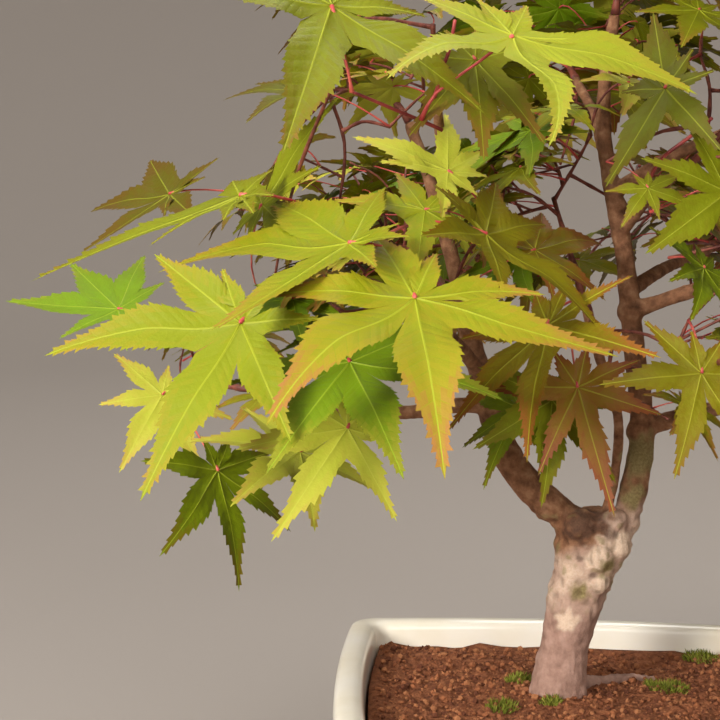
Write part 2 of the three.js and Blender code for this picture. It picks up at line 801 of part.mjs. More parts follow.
const materials = {
  glaze: new THREE.MeshStandardMaterial({ color: 0xece6d6, roughness: 0.22, metalness: 0 }),
  soil: new THREE.MeshStandardMaterial({ color: 0x6b3d28, roughness: 1, metalness: 0 }),
  trunk: new THREE.MeshStandardMaterial({ color: 0x9a7b69, roughness: 0.85, metalness: 0 }),
  bough: new THREE.MeshStandardMaterial({ color: 0x5d4438, roughness: 0.85, metalness: 0 }),
  leaf: new THREE.MeshStandardMaterial({ color: 0xa9b83a, roughness: 0.55, metalness: 0 }),
};

const bonsai = new THREE.Group();

function add(name, geometry, material) {
  const mesh = new THREE.Mesh(geometry, material);
  mesh.name = name;
  bonsai.add(mesh);
}

add('pot', potLoft(POT_PROFILE), materials.glaze);
add('soil', potLoft(SOIL_PROFILE), materials.soil);
add('trunk', trunkLoft(), materials.trunk);
for (const name of Object.keys(BOUGHS)) {
  add(name, geometryFrom(boughSolid(name)), materials.bough);
}
const stretches = limbStretches();
for (const name of Object.keys(MASSES)) {
  const leaves = [];
  const twigs = growMass(name, stretches, leaves);
  add(name, geometryFrom(massSolid(twigs, leaves)), materials.leaf);
}

export default bonsai;
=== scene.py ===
"""A japanese maple bonsai in a cream glazed pot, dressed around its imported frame.

Growth is worked out in millimetres, as in the part's source, and turned into
metres where the meshes are made.
"""

import math
from types import SimpleNamespace as Values

import bpy
import numpy as np
from mathutils import Matrix, Vector, noise


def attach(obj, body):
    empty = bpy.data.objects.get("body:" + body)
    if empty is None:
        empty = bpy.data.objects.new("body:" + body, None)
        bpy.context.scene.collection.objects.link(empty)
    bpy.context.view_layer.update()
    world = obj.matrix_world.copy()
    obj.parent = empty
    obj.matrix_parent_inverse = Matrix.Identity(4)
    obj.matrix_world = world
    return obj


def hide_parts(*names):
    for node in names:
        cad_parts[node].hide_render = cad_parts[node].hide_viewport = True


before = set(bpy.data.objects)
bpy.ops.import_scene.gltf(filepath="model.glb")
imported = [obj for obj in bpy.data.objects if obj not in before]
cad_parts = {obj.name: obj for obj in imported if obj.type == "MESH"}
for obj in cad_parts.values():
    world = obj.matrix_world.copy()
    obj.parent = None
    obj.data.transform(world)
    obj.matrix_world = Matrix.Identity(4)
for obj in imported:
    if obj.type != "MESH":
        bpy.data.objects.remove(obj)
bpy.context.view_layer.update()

MM = 0.001

# Camera: where it stands, where it looks and how long its lens is

PHOTO_SIDE = 720
LENS_PIXELS = 1600
SENSOR_WIDTH = 36
CAMERA_AT = np.array([-56.6, -477.2, 211.1])
CAMERA_TURN = 2
CAMERA_PITCH = 6.5
CAMERA_ROLL = 1

# Driving sizes, as in the part's source

POT = Values(
    length=154, width=118, height=62, long_bow=4.5, short_bow=2,
    corner_radius=9, least_corner_radius=4, corner_tightening=0.4,
)
SOIL_LEVEL = 55
POT_PROFILE = [
    [14, 0], [12.5, 2], [5, 50], [1, 51.5], [0, 53.5], [0, 59.5], [1.2, 61.4],
    [3.4, 62], [6, 62], [8.2, 61], [9, 58.5], [9.4, 50], [15, 12], [19, 8],
]

LEAF = Values(
    size=[26, 38], lobe_angles=[0, 50, 102, 158], lobe_lengths=[1, 0.96, 0.76, 0.38],
    notch_lengths=[0.3, 0.27, 0.17], half_lobe_width=0.13, heel=2, heel_angle=154,
    foot_offset=0.35,
)
LEAF_ROOM = Values(space=1, petiole=1.5, midribs=2, ignored=90)
LEAF_SHRINK = 0.025
HANG = Values(
    outward=[0.3, 1], along_twig=0.3, rise=[-0.1, 0.6], blade_outward=0.8,
    turn_spread=50, dip=[8, 50], roll_spread=40, droop=[0, 0.25],
)
TWIG = Values(
    stem_radius=1.9, radius=1.35, stretches=2, stem_stretches=3, stem_bend=0.4,
    sway=0.25, lift=0.6, fork_places=[0.2, 0.36, 0.52, 0.68, 0.84, 0.98],
    target_share=[0.55, 0.85], root_offset=0.5, least_length=10, room=0.5,
)
TWIG_LEAVES = Values(places=[0.28, 0.6, 0.92], petioles=[18, 30], scale=1, tries=12, rib_gap=2)
CLEARANCE = 0.3
GOLDEN_ANGLE = math.pi * (3 - math.sqrt(5))

CROWN_AXIS = [-3, 2]
CROWN_DEPTH = 0.86
CROWN_OUTLINE = [
    [96, 118], [120, 140], [150, 162], [185, 174], [215, 146], [235, 118], [275, 106], [305, 84], [334, 18],
]
NAMED_LEAF_SCREEN = Values(right=12, front=-68)
NAMED_PETIOLE = Values(length=27, behind=0.8, under=0.6)

# The trunk's rings, [x, y, z, half width, half depth]; other than the sizes
# above, they are up to 1 mm slimmer or to one side of the solid's
TRUNK_RINGS = [
    [-11.4, 0, SOIL_LEVEL + CLEARANCE, 8.9, 8.8],
    [-11.1, 0, 59, 8.2, 8],
    [-9.6, 0, 70, 7.2, 7.2],
    [-6.7, 0, 83, 8.6, 8],
    [-4.9, 0, 91.5, 9.2, 8.4],
    [-2.7, 0, 98, 10.6, 8.8],
    [-1.3, 0, 105, 11.3, 8.8],
    [0.4, 0, 110, 9.6, 7.6],
    [0.8, 0, 113, 6, 5],
]

# Each bough: its thickness at both ends and its route
BOUGHS = {
    "left_bough": Values(
        radii=[5.4, 3],
        route=[
            [-4, 0, 105], [-16.6, 0, 115.3], [-26, 0, 125], [-31.5, 0, 136],
            [-35.5, 1, 150], [-38.6, 3, 158], [-42, 6, 170],
        ],
    ),
    "left_side_bough": Values(
        radii=[2.6, 1.5],
        route=[[-33.5, 0, 144], [-45.6, -1, 143.5], [-61, 0, 141], [-84, 2, 142], [-104, 4, 146]],
    ),
    "left_front_bough": Values(radii=[2.4, 1.5], route=[[-36, 1.5, 152], [-44, -14, 163], [-52, -32, 172]]),
    "left_back_bough": Values(radii=[2.4, 1.5], route=[[-39, 3.5, 160], [-45, 22, 172], [-52, 42, 181]]),
    "left_upper_bough": Values(
        radii=[2.6, 1.7],
        route=[[-41.5, 6, 168], [-47, 9, 190], [-54, 10, 212], [-60, 11, 228]],
    ),
    "left_upper_front_bough": Values(
        radii=[1.9, 1.4],
        route=[[-48.5, 9.5, 197], [-50, -10, 214], [-52, -32, 230]],
    ),
    "right_bough": Values(
        radii=[5.6, 1.7],
        route=[
            [5, 0, 104], [9.6, 0, 112], [11.6, 0, 125], [12.2, 0, 135], [10.8, 0, 147],
            [7.7, 0, 167], [4.9, 0, 188], [1.5, 2, 204], [-2, 6, 225], [-2, 7, 243], [0, 6, 260],
        ],
    ),
    "middle_shoot": Values(
        radii=[1.6, 1.4],
        route=[[0.8, -1, 108], [3.6, -3, 124], [3.4, -8, 142], [-3, -12, 160], [-8, -12, 176]],
    ),
    "front_bough": Values(radii=[2.2, 1.4], route=[[10.5, 0, 150], [16, -16, 156], [20, -36, 161]]),
    "front_upper_bough": Values(radii=[2, 1.4], route=[[3, 1, 196], [10, -16, 208], [18, -34, 217]]),
    "right_low_bough": Values(
        radii=[2.8, 1.5],
        route=[[12, 0, 138], [30, 3, 143], [54, 8, 147], [78, 12, 150]],
    ),
    "right_front_bough": Values(
        radii=[2.4, 1.4],
        route=[[7, 0, 173], [26, -10, 181], [46, -22, 187], [62, -32, 190]],
    ),
    "right_upper_bough": Values(
        radii=[2.3, 1.4],
        route=[[1, 2.6, 208], [20, 4, 220], [42, 6, 229], [56, 7, 233]],
    ),
    "back_bough": Values(
        radii=[2.4, 1.4],
        route=[[6.5, 0, 179], [18, 20, 184], [32, 42, 188], [40, 54, 190]],
    ),
    "back_upper_bough": Values(radii=[2, 1.4], route=[[-1.5, 5, 219], [-4, 20, 232], [-8, 36, 243]]),
}

# Each mass of foliage: the bough its stem meets, the middle of its space, its
# half sizes, how many twigs leave its stem and its own seed
MASS_ROWS = [
    ["left_front_mass", "left_front_bough", [-76, -64, 176], [60, 44, 36], 6, 11],
    ["left_upper_front_mass", "left_upper_front_bough", [-54, -62, 250], [46, 40, 36], 6, 12],
    ["left_low_mass", "left_side_bough", [-122, 14, 146], [48, 54, 36], 8, 13],
    ["left_upper_mass", "left_upper_bough", [-84, 22, 238], [52, 50, 46], 8, 14],
    ["left_back_mass", "left_back_bough", [-66, 90, 188], [62, 48, 44], 8, 15],
    ["front_mass", "front_bough", [24, -72, 166], [50, 44, 36], 7, 16],
    ["front_upper_mass", "front_upper_bough", [28, -66, 238], [48, 46, 44], 8, 17],
    ["heart_mass", "middle_shoot", [-16, 10, 206], [40, 34, 34], 6, 18],
    ["right_front_mass", "right_front_bough", [100, -50, 194], [54, 50, 44], 8, 19],
    ["right_low_mass", "right_low_bough", [112, 40, 158], [52, 54, 38], 8, 20],
    ["right_upper_mass", "right_upper_bough", [84, 18, 242], [52, 54, 46], 9, 21],
    ["right_back_mass", "back_bough", [38, 98, 190], [58, 46, 44], 8, 22],
    ["back_upper_mass", "back_upper_bough", [-6, 72, 250], [56, 46, 46], 9, 23],
    ["top_mass", "right_bough", [0, -4, 292], [62, 56, 36], 9, 24],
]
MASSES = {
    name: Values(bough=bough, middle=np.array(middle, float), reach=np.array(reach), twigs=twigs, seed=seed)
    for name, bough, middle, reach, twigs, seed in MASS_ROWS
}
MASS_NAMES = list(MASSES)
MIDDLES = np.array([mass.middle for mass in MASSES.values()])

# The leaves that show best: mass, where the lobes meet, turn, dip, roll, size,
# droop, the family and ripeness of their tint, and where lobes end in the
# photo's pixels, numbered from the middle one out, left side positive. Some
# also have bends and widths of single lobes, the pixels of their petiole, or
# how far back the scene sets them.
NAMED_LEAVES = [
    ["left_front_mass", [-57, -86, 182], -78, 34, 7, 53, 0.1, "lime", 0.2, {
        0: [445, 480], -1: [266, 426], 1: [619, 357], -2: [259, 297], 2: [546, 295],
        -3: [372, 233], 3: [437, 253],
        "bends": {1: -0.08, -1: -0.06, 2: 0.05, 0: 0, -2: 0}, "widths": {0: 0.92, 1: 0.88},
    }],
    ["left_front_mass", [-101, -75, 174], -135, 50, -25, 50, 0, "lime", 0, {
        0: [140, 502], -1: [44, 356], 1: [291, 442], -2: [154, 254], 2: [322, 319],
        -3: [222, 268], 3: [272, 288],
        "bends": {-1: -0.045, 0: 0, 1: 0, -2: 0}, "widths": {-1: 0.85, 0: 0.9},
    }],
    ["left_front_mass", [-74, -75, 195], 171, 16, -21, 48, 0, "lime", 0.08, {
        0: [157, 273], -1: [271, 202], 1: [209, 332], -2: [385, 187], 2: [377, 268], -3: [401, 223],
        "bends": {0: -0.1, 1: -0.01, -1: 0}, "back": 5,
    }],
    ["left_front_mass", [-74, -64, 146], -120, 55, -40, 33, 0.1, "pale", 0.1, {
        0: [271, 542], -1: [235, 450], 1: [397, 522], 2: [385, 441], "widths": {0: 0.78, 1: 0.8},
    }],
    ["left_front_mass", [-39, -60, 197], -4, 38, 20, 46, 0, "olive", 0.1, {
        0: [608, 342], -1: [505, 300], 1: [546, 225], -2: [420, 236], -3: [432, 184], "bends": {0: 0.1},
    }],
    ["left_upper_front_mass", [-79, -78, 253], -99, 45, -30, 47, 0, "green", 0.1, {
        0: [282, 155], -1: [190, -5], 1: [485, 114], 2: [428, 17], "petiole": [[346, 62], [352, 92]],
        "bends": {0: 0, 1: 0}, "widths": {0: 0.88, 1: 1.15, 2: 0.6},
    }],
    # Painted light: this leaf hangs in shade and takes the lighter lime tints
    ["left_upper_front_mass", [-34, -70, 247], -80, 35, -6, 48, 0, "lime_painted_light", 0.05, {
        0: [548, 148], -1: [386, 80], 1: [698, 95], -2: [410, -6], 2: [640, 51],
        "petiole": [[476, 64], [436, 93], [421, 120]], "bends": {0: 0.12, -1: -0.09, 1: 0.035},
        "widths": {-1: 0.5, 0: 0.55, 1: 1.5, 2: 0.5},
    }],
    ["left_low_mass", [-114, -16, 125], -46, 62, -6, 36, 0.1, "dark", 0.2, {
        0: [239, 592], -1: [159, 557], 1: [291, 532], -2: [140, 461], 2: [270, 452],
        -3: [200, 435], 3: [229, 437],
        "widths": {0: 0.8, -1: 0.88, 1: 0.8},
    }],
    ["left_low_mass", [-152, 30, 168], 180, 8, -28, 34, 0, "bright", 0.1, {
        0: [5, 301], -1: [70, 263], 1: [59, 339], -2: [145, 255], -3: [165, 282],
    }],
    ["left_low_mass", [-136, 20, 142], -130, 45, -40, 29, 0.1, "pale", 0.2, {
        0: [119, 473], -1: [98, 405], 1: [201, 469], 2: [234, 420],
    }],
    # Painted shade: the deep tints darken this leaf, which hangs in shade
    ["left_upper_mass", [-133, 13, 205], 180, 34, -24, 37, 0, "deep", 0.5, {
        0: [80, 254], -1: [90, 212], 1: [165, 217], -2: [150, 160], -3: [220, 157],
    }],
    ["front_mass", [-12, -40, 155], -70, 62, 30, 35, 0.1, "bronze", 0.3, {
        0: [615, 518], -1: [538, 476], 1: [662, 415], 2: [640, 360], "widths": {0: 0.62, -1: 0.75},
    }],
    ["front_mass", [18, -60, 162], -110, 60, -30, 32, 0, "olive", 0.1, {
        0: [674, 480], -1: [598, 385], 1: [742, 440], -2: [643, 320], "widths": {0: 0.85, -1: 0.9},
    }],
    # Painted shade: the deep tints darken this leaf, which hangs in shade
    ["front_upper_mass", [8, -45, 236], -120, 60, 0, 36, 0, "deep", 0.1, {
        0: [605, 188], -1: [620, 93], 1: [722, 152], -2: [634, 52], 2: [716, 70], -3: [653, 12],
    }],
]

# More leaves in view, which only the scene has: here a leaf's place is its
# pixel in the photo and its depth along the view
MORE_LEAVES = [
    ["heart_mass", [448, 171, 436], 175, -22, -42, 30, 0.05, "pale", 0.1, {
        0: [352, 137], 1: [378, 162], -1: [445, 113], -2: [486, 150], 2: [442, 220],
    }],
    # Painted light: this leaf hangs in shade and takes the brighter tints
    ["left_front_mass", [350, 362, 408], -67, 29, 17, 43, 0.08, "bright", 0.3, {
        0: [404, 480], -1: [266, 474],
    }],
    ["left_front_mass", [300, 452, 440], -121, 13, -25, 33, 0.08, "pale", 0.1, {
        0: [230, 507], 1: [315, 532],
    }],
    ["front_upper_mass", [728, 192, 412], -135, 25, -60, 31, 0.07, "green", 0, {
        0: [645, 254], -1: [640, 158], "petiole": [[697, 191], [668, 205], [650, 212]],
    }],
    ["left_upper_front_mass", [475, 60, 421], -60, 50, 10, 34, 0.1, "green", 0.3, {
        0: [484, 162], 1: [546, 146],
    }],
    ["heart_mass", [425, 210, 428], -150, 20, -30, 28, 0.1, "lime", 0.1, {0: [382, 196]}],
    ["front_mass", [520, 408, 452], 162, 30, -42, 27, 0.13, "dark", 0.2, {
        0: [462, 448], -1: [468, 391], -2: [508, 382],
    }],
    ["front_mass", [548, 325, 425], -100, 46, 30, 41, 0.03, "olive", 0.3, {
        0: [527, 464], 1: [662, 358], 2: [634, 275], "widths": {0: 0.7, 1: 0.6, 2: 0.6},
    }],
    ["front_mass", [552, 400, 446], -95, 60, -30, 31, 0.08, "green", 0.1, {0: [541, 508]}],
    ["left_upper_mass", [240, 196, 440], 178, 23, -22, 58, 0, "green", 0.1, {
        0: [30, 282], 1: [148, 247], -1: [234, 184], -2: [258, 182], 2: [224, 220],
        3: [254, 214], -3: [268, 196],
        "widths": {0: 0.42, 1: 0.4},
    }],
    ["left_upper_front_mass", [262, 205, 455], 21, -57, 17, 33, 0, "green", 0, {
        0: [340, 96], -1: [322, 166], 1: [256, 180], 2: [226, 192],
    }],
    # Painted shade: the deep tints darken this leaf
    ["left_upper_mass", [304, 88, 452], 178, 12, -20, 26, 0.05, "deep", 0.3, {0: [222, 101]}],
    ["front_upper_mass", [699, 10, 430], -115, 23, -22, 25, 0.02, "green", 0.2, {
        0: [681, 48], -1: [633, 12],
    }],
    ["heart_mass", [535, 250, 440], 35, -2, 40, 25, 0.14, "olive", 0.5, {0: [603, 246]}],
    ["right_front_mass", [704, 268, 432], -101, 33, -40, 25, 0.13, "dark", 0.2, {
        0: [690, 322], -1: [668, 282],
    }],
    ["front_upper_mass", [648, 188, 412], -60, 50, 20, 15, 0.1, "green", 0.2, {0: [660, 221]}],
]


# Numbers and vectors

WORD = 0xFFFFFFFF
SEED_STEP = 0x6D2B79F5
PARALLEL = 1e-9


def seeded(seed):
    """A run of even random numbers from 0 to 1, as in the part's source."""
    state = seed & WORD

    def draw():
        nonlocal state
        state = (state + SEED_STEP) & WORD
        mixed = ((state ^ (state >> 15)) * (state | 1)) & WORD
        mixed = ((mixed + (mixed ^ (mixed >> 7)) * (mixed | 61)) & WORD) ^ mixed
        return ((mixed ^ (mixed >> 14)) & WORD) / (WORD + 1)

    return draw


def between(limits, share):
    return limits[0] + (limits[1] - limits[0]) * share


def unit(vector):
    return vector / math.sqrt(vector @ vector)


def cross(a, b):
    return np.array([a[1] * b[2] - a[2] * b[1], a[2] * b[0] - a[0] * b[2], a[0] * b[1] - a[1] * b[0]])


def look_up(table, keys):
    """Values between a table's rows, and 0 past its last row."""
    heights, values = np.array(table, float).T
    return np.interp(keys, heights, values, right=0)


def smooth_step(low, high, values):
    share = np.clip((values - low) / (high - low), 0, 1)
    return share * share * (3 - 2 * share)


def segment_gaps(starts, ends, other_starts, other_ends):
    """The least distances between every segment and every other segment."""
    u = (ends - starts)[:, None, :]
    v = (other_ends - other_starts)[None, :, :]
    w = starts[:, None, :] - other_starts[None, :, :]
    uu = (u * u).sum(-1)
    uv = (u * v).sum(-1)
    vv = (v * v).sum(-1)
    uw = (u * w).sum(-1)
    vw = (v * w).sum(-1)
    det = uu * vv - uv * uv
    s = np.where(det > PARALLEL, np.clip((uv * vw - vv * uw) / np.maximum(det, PARALLEL), 0, 1), 0)
    t = np.clip((uv * s + vw) / vv, 0, 1)
    s = np.clip((uv * t - uw) / uu, 0, 1)
    return np.linalg.norm(w + s[..., None] * u - t[..., None] * v, axis=-1)


def through_points(points, count):
    """An even run of points on a smooth curve through the given points."""
    points = np.asarray(points, float)
    before = 2 * points[0] - points[1]
    after = 2 * points[-1] - points[-2]
    knots = np.vstack([before, points, after])
    places = np.linspace(0, len(points) - 1, count)
    index = np.minimum(places.astype(int), len(points) - 2)
    t = (places - index)[:, None]
    a, b, c, d = (knots[index + k] for k in range(4))
    return 0.5 * (2 * b + (c - a) * t + (2 * a - 5 * b + 4 * c - d) * t**2 + (3 * b - a - 3 * c + d) * t**3)


def bent_path(start, bend, end, count):
    """Points of a curve that leaves its start towards one bend."""
    t = np.linspace(0, 1, count)[:, None]
    return start * (1 - t) ** 2 + bend * 2 * t * (1 - t) + end * t**2


# The camera's view

def camera_axes():
    """The camera's right, up and forward directions."""
    turn, pitch, roll = np.radians([CAMERA_TURN, CAMERA_PITCH, CAMERA_ROLL])
    forward = np.array([
        -math.sin(turn) * math.cos(pitch), math.cos(turn) * math.cos(pitch), -math.sin(pitch),
    ])
    level = np.array([math.cos(turn), math.sin(turn), 0])
    above = np.cross(level, forward)
    right = level * math.cos(roll) + above * math.sin(roll)
    up = above * math.cos(roll) - level * math.sin(roll)
    return right, up, forward


CAMERA_RIGHT, CAMERA_UP, CAMERA_FORWARD = camera_axes()


def in_photo(points):
    """Where points show in the photo: pixels across and down, and their depth."""
    away = points - CAMERA_AT
    depth = away @ CAMERA_FORWARD
    across = PHOTO_SIDE / 2 + LENS_PIXELS * (away @ CAMERA_RIGHT) / depth
    down = PHOTO_SIDE / 2 - LENS_PIXELS * (away @ CAMERA_UP) / depth
    return across, down, depth


def line_of_sight(pixel):
    """The direction from the camera through a pixel, one long along the view."""
    across, down = pixel
    right = CAMERA_RIGHT * (across - PHOTO_SIDE / 2) / LENS_PIXELS
    up = CAMERA_UP * (PHOTO_SIDE / 2 - down) / LENS_PIXELS
    return CAMERA_FORWARD + right + up


# Growth, by the rule of the part's source

def inside_crown(points):
    across = points[:, 0] - CROWN_AXIS[0]
    deep = (points[:, 1] - CROWN_AXIS[1]) / CROWN_DEPTH
    reach = look_up(CROWN_OUTLINE, points[:, 2])
    return bool(np.all((points[:, 2] > CROWN_OUTLINE[0][0]) & (np.hypot(across, deep) < reach)))


def inside_space(name, points, room):
    own = MASS_NAMES.index(name)
    squares = ((points[:, None, :] - MIDDLES[None]) ** 2).sum(-1)
    apart = np.linalg.norm(MIDDLES - MIDDLES[own], axis=1)
    others = np.arange(len(MASS_NAMES)) != own
    lead = (squares[:, others] - squares[:, [own]]) / (2 * apart[others])
    return bool(np.all(lead > room))


def limb_stretches():
    """Every straight stretch of trunk and bough: starts, ends and radii."""
    starts = []
    ends = []
    radii = []
    for low, high in zip(TRUNK_RINGS, TRUNK_RINGS[1:]):
        starts.append(low[:3])
        ends.append(high[:3])
        radii.append(max(low[3], high[3]))
    for bough in BOUGHS.values():
        route = bough.route
        for index in range(1, len(route)):
            starts.append(route[index - 1])
            ends.append(route[index])
            radii.append(between(bough.radii, (index - 1) / (len(route) - 1)))
    return np.array(starts, float), np.array(ends, float), np.array(radii, float)


LIMB_STARTS, LIMB_ENDS, LIMB_RADII = limb_stretches()


def clear_of_limbs(starts, ends, room):
    gaps = segment_gaps(starts, ends, LIMB_STARTS, LIMB_ENDS)
    return bool(np.all(gaps > LIMB_RADII[None] + room))


def leaf_axes(turn, dip, roll):
    """The directions of a leaf's middle lobe, its left side and its upper face."""
    t, d, r = np.radians([turn, dip, roll])
    ahead = np.array([math.cos(t) * math.cos(d), math.sin(t) * math.cos(d), -math.sin(d)])
    level = np.array([-math.sin(t), math.cos(t), 0])
    above = cross(ahead, level)
    side = level * math.cos(r) + above * math.sin(r)
    return ahead, side, cross(ahead, side)


def blade_points(leaf, angles, shares):
    angles = np.radians(angles)[:, None]
    shares = np.asarray(shares, float)[:, None]
    reach = leaf.size * shares
    ahead, side, face = leaf.axes
    flat = ahead * reach * np.cos(angles) + side * reach * np.sin(angles)
    return leaf.centre + flat - face * leaf.droop * reach * shares


def make_leaf(turn, dip, roll, size, droop, centre, foot):
    leaf = Values(size=size, droop=droop, centre=centre, foot=foot, axes=leaf_axes(turn, dip, roll))
    leaf.tint = leaf.ends = leaf.template = None
    tips = LEAF.lobe_angles
    notches = [(low + high) / 2 for low, high in zip(tips, tips[1:])]
    left = tips + notches
    lengths = LEAF.lobe_lengths + LEAF.notch_lengths
    angles = left + [-angle for angle in left[1:]] + [LEAF.heel_angle, -LEAF.heel_angle]
    shares = lengths + lengths[1:] + [LEAF.heel / size] * 2
    leaf.rim = blade_points(leaf, angles, shares)
    right_tips = [-angle for angle in tips[1:]]
    leaf.tips = blade_points(leaf, tips + right_tips, LEAF.lobe_lengths + LEAF.lobe_lengths[1:])
    return leaf


def rib_segments(leaf):
    return np.repeat(leaf.centre[None], len(leaf.tips), axis=0), leaf.tips


def leaf_fits(name, leaf, twigs, leaves, rib_gap):
    rim = np.vstack([leaf.rim, leaf.centre[None]])
    if not (inside_space(name, rim, LEAF_ROOM.space) and inside_crown(leaf.rim)):
        return False
    starts, ends = rib_segments(leaf)
    if not clear_of_limbs(leaf.foot[None], leaf.centre[None], LEAF_ROOM.petiole):
        return False
    if not clear_of_limbs(starts, ends, leaf.size * LEAF.half_lobe_width):
        return False
    near = [o for o in leaves if np.linalg.norm(o.centre - leaf.centre) <= LEAF_ROOM.ignored]
    if near:
        with_petiole = np.vstack([starts, leaf.centre[None]]), np.vstack([ends, leaf.foot[None]])
        other_starts = np.vstack([rib_segments(other)[0] for other in near])
        other_ends = np.vstack([other.tips for other in near])
        if segment_gaps(*with_petiole, other_starts, other_ends).min() <= rib_gap:
            return False
    twig_starts = np.vstack([twig.path[:-1] for twig in twigs])
    twig_ends = np.vstack([twig.path[1:] for twig in twigs])
    return segment_gaps(starts, ends, twig_starts, twig_ends).min() > TWIG.radius


def behind_named_leaves(name, leaf):
    """True if a leaf of any mass keeps out of the space in front, where the named leaves hang."""
    rim = leaf.rim
    return bool(np.all((rim[:, 0] > NAMED_LEAF_SCREEN.right) | (rim[:, 1] > NAMED_LEAF_SCREEN.front)))


def point_along(path, share):
    """A point along a twig, with the direction the twig runs there."""
    count = len(path) - 1
    index = min(int(share * count), count - 1)
    start, end = path[index], path[index + 1]
    return start + (end - start) * (share * count - index), unit(end - start)


def nearest_fork(twigs, target):
    """The nearest fork that no other twig leaves."""
    best = None
    for twig in twigs:
        for share in TWIG.fork_places:
            point, _ = point_along(twig.path, share)
            distance = np.linalg.norm(point - target)
            if share not in twig.forks and (best is None or distance < best[0]):
                best = (distance, twig, share, point)
    distance, twig, share, point = best
    return distance, twig, share, point + unit(target - point) * TWIG.root_offset


def twig_path(start, target, random):
    span = np.linalg.norm(target - start)
    sway = np.array([random() - 0.5, random() - 0.5, TWIG.lift * random()]) * TWIG.sway * span
    shares = np.linspace(0, 1, TWIG.stretches + 1)[:, None]
    return start + (target - start) * shares + sway * 4 * shares * (1 - shares)


def new_twig(path, order, in_view=False):
    """Order 0 is a mass's stem, 1 a twig and 2 a side shoot."""
    return Values(path=path, forks=[], order=order, in_view=in_view)


def grow_stem(name):
    middle = MASSES[name].middle
    route = np.array(BOUGHS[MASSES[name].bough].route, float)
    along = unit(route[-1] - route[-2])
    root = route[-1] + along * CLEARANCE
    bend = root + along * TWIG.stem_bend * np.linalg.norm(middle - root)
    return new_twig(bent_path(root, bend, middle, TWIG.stem_stretches + 1), 0)


def spiral_target(name, index, random):
    mass = MASSES[name]
    height = 1 - (2 * (index + 0.5)) / mass.twigs
    ring = math.sqrt(1 - height * height)
    angle = index * GOLDEN_ANGLE + mass.seed
    share = between(TWIG.target_share, random())
    way = np.array([ring * math.cos(angle), ring * math.sin(angle), height])
    return mass.middle + mass.reach * way * share


def grow_twig(name, twigs, target, random):
    distance, parent, share, start = nearest_fork(twigs, target)
    path = twig_path(start, target, random)
    room = TWIG.stem_radius + TWIG.room
    fits = (
        distance >= TWIG.least_length
        and inside_space(name, path[1:], room)
        and inside_crown(path[1:])
        and clear_of_limbs(path[:-1], path[1:], room)
    )
    if fits:
        parent.forks.append(share)
        twigs.append(new_twig(path, 1))


def outward_at(node):
    """The level direction away from the crown's axis."""
    return unit(np.array([node[0] - CROWN_AXIS[0], node[1] - CROWN_AXIS[1], 0]))


def leaf_at(node, tangent, side, scale, petioles, random):
    """A leaf whose petiole leaves its node to one side, outward and up."""
    outward = outward_at(node)
    across = unit(np.array([-tangent[1], tangent[0], 0])) * side
    along = across + outward * between(HANG.outward, random()) + tangent * HANG.along_twig
    along[2] = between(HANG.rise, random())
    along = unit(along)
    centre = node + along * between(petioles, random())
    heading = along + outward * HANG.blade_outward
    turn = math.degrees(math.atan2(heading[1], heading[0])) + HANG.turn_spread * (random() - 0.5)
    dip = between(HANG.dip, random())
    roll = HANG.roll_spread * (random() - 0.5)
    size = scale * between(LEAF.size, random())
    droop = between(HANG.droop, random())
    return make_leaf(turn, dip, roll, size, droop, centre, node + along * LEAF.foot_offset)


def leaf_pairs(name, path, rule, may_grow, twigs, leaves, random):
    """Leaves in pairs, one to each side of their twig, where they find room."""
    found = []
    for place in rule.places:
        node, tangent = point_along(path, place)
        for side in (-1, 1):
            for attempt in range(rule.tries):
                scale = rule.scale * (1 - LEAF_SHRINK * attempt)
                leaf = leaf_at(node, tangent, side, scale, rule.petioles, random)
                if may_grow(name, leaf) and leaf_fits(name, leaf, twigs, leaves + found, rule.rib_gap):
                    found.append(leaf)
                    break
    return found


def grow_named_leaves(name, named_leaves, twigs, leaves, random):
    """A named leaf hangs on a twig that ends behind and under it."""
    for mass, at, turn, dip, roll, size, droop, family, ripeness, ends in named_leaves:
        if mass != name:
            continue
        centre = np.array(at, float)
        ahead, _, face = leaf_axes(turn, dip, roll)
        back = unit(-ahead * NAMED_PETIOLE.behind - face * NAMED_PETIOLE.under)
        foot = centre + back * NAMED_PETIOLE.length
        _, parent, share, start = nearest_fork(twigs, foot)
        parent.forks.append(share)
        twig = new_twig(twig_path(start, foot, random), 1, in_view=True)
        twigs.append(twig)
        leaf = make_leaf(turn, dip, roll, size, droop, centre, foot)
        leaf.tint, leaf.ends, leaf.twig = (family, ripeness), ends, twig
        leaves.append(leaf)


def grow_mass(name):
    random = seeded(MASSES[name].seed)
    twigs = [grow_stem(name)]
    leaves = []
    grow_named_leaves(name, NAMED_LEAVES, twigs, leaves, random)
    for index in range(MASSES[name].twigs):
        grow_twig(name, twigs, spiral_target(name, index, random), random)
    for twig in twigs:
        leaves += leaf_pairs(name, twig.path, TWIG_LEAVES, behind_named_leaves, twigs, leaves, random)
    return twigs, leaves


# Finer growth, which only the scene has

# Side shoots: thinner twigs from the free forks, with smaller leaves
SHOOT = Values(length=[12, 32], rise=[-0.2, 0.6], spread=2, tries=4, room=1.2)
SHOOT_LEAVES = Values(places=[0.4, 0.72, 0.98], petioles=[6, 15], scale=0.72, tries=4, rib_gap=0.7)

# Added to a mass's own seed for its further leaves and for its shoots
MORE_SEED = 50
SHOOT_SEED = 100

# Shares of a leaf in view, round its middle, that others keep clear of, and
# how far a node moves back in one step, and in how many, until they do
LEAVES_CLEAR_SHARE = 0.5
TWIGS_CLEAR_SHARE = 0.3
TUCK_SHARE = 0.7
TUCK_STEP = 4
TUCK_STEPS = 12

# Points at which a twig is looked at, and how near a foot is to its twig
TWIG_POINTS = 12
TUCKED_POINTS = 14
FOOT_REACH = 1.5
DOT = 1e-3

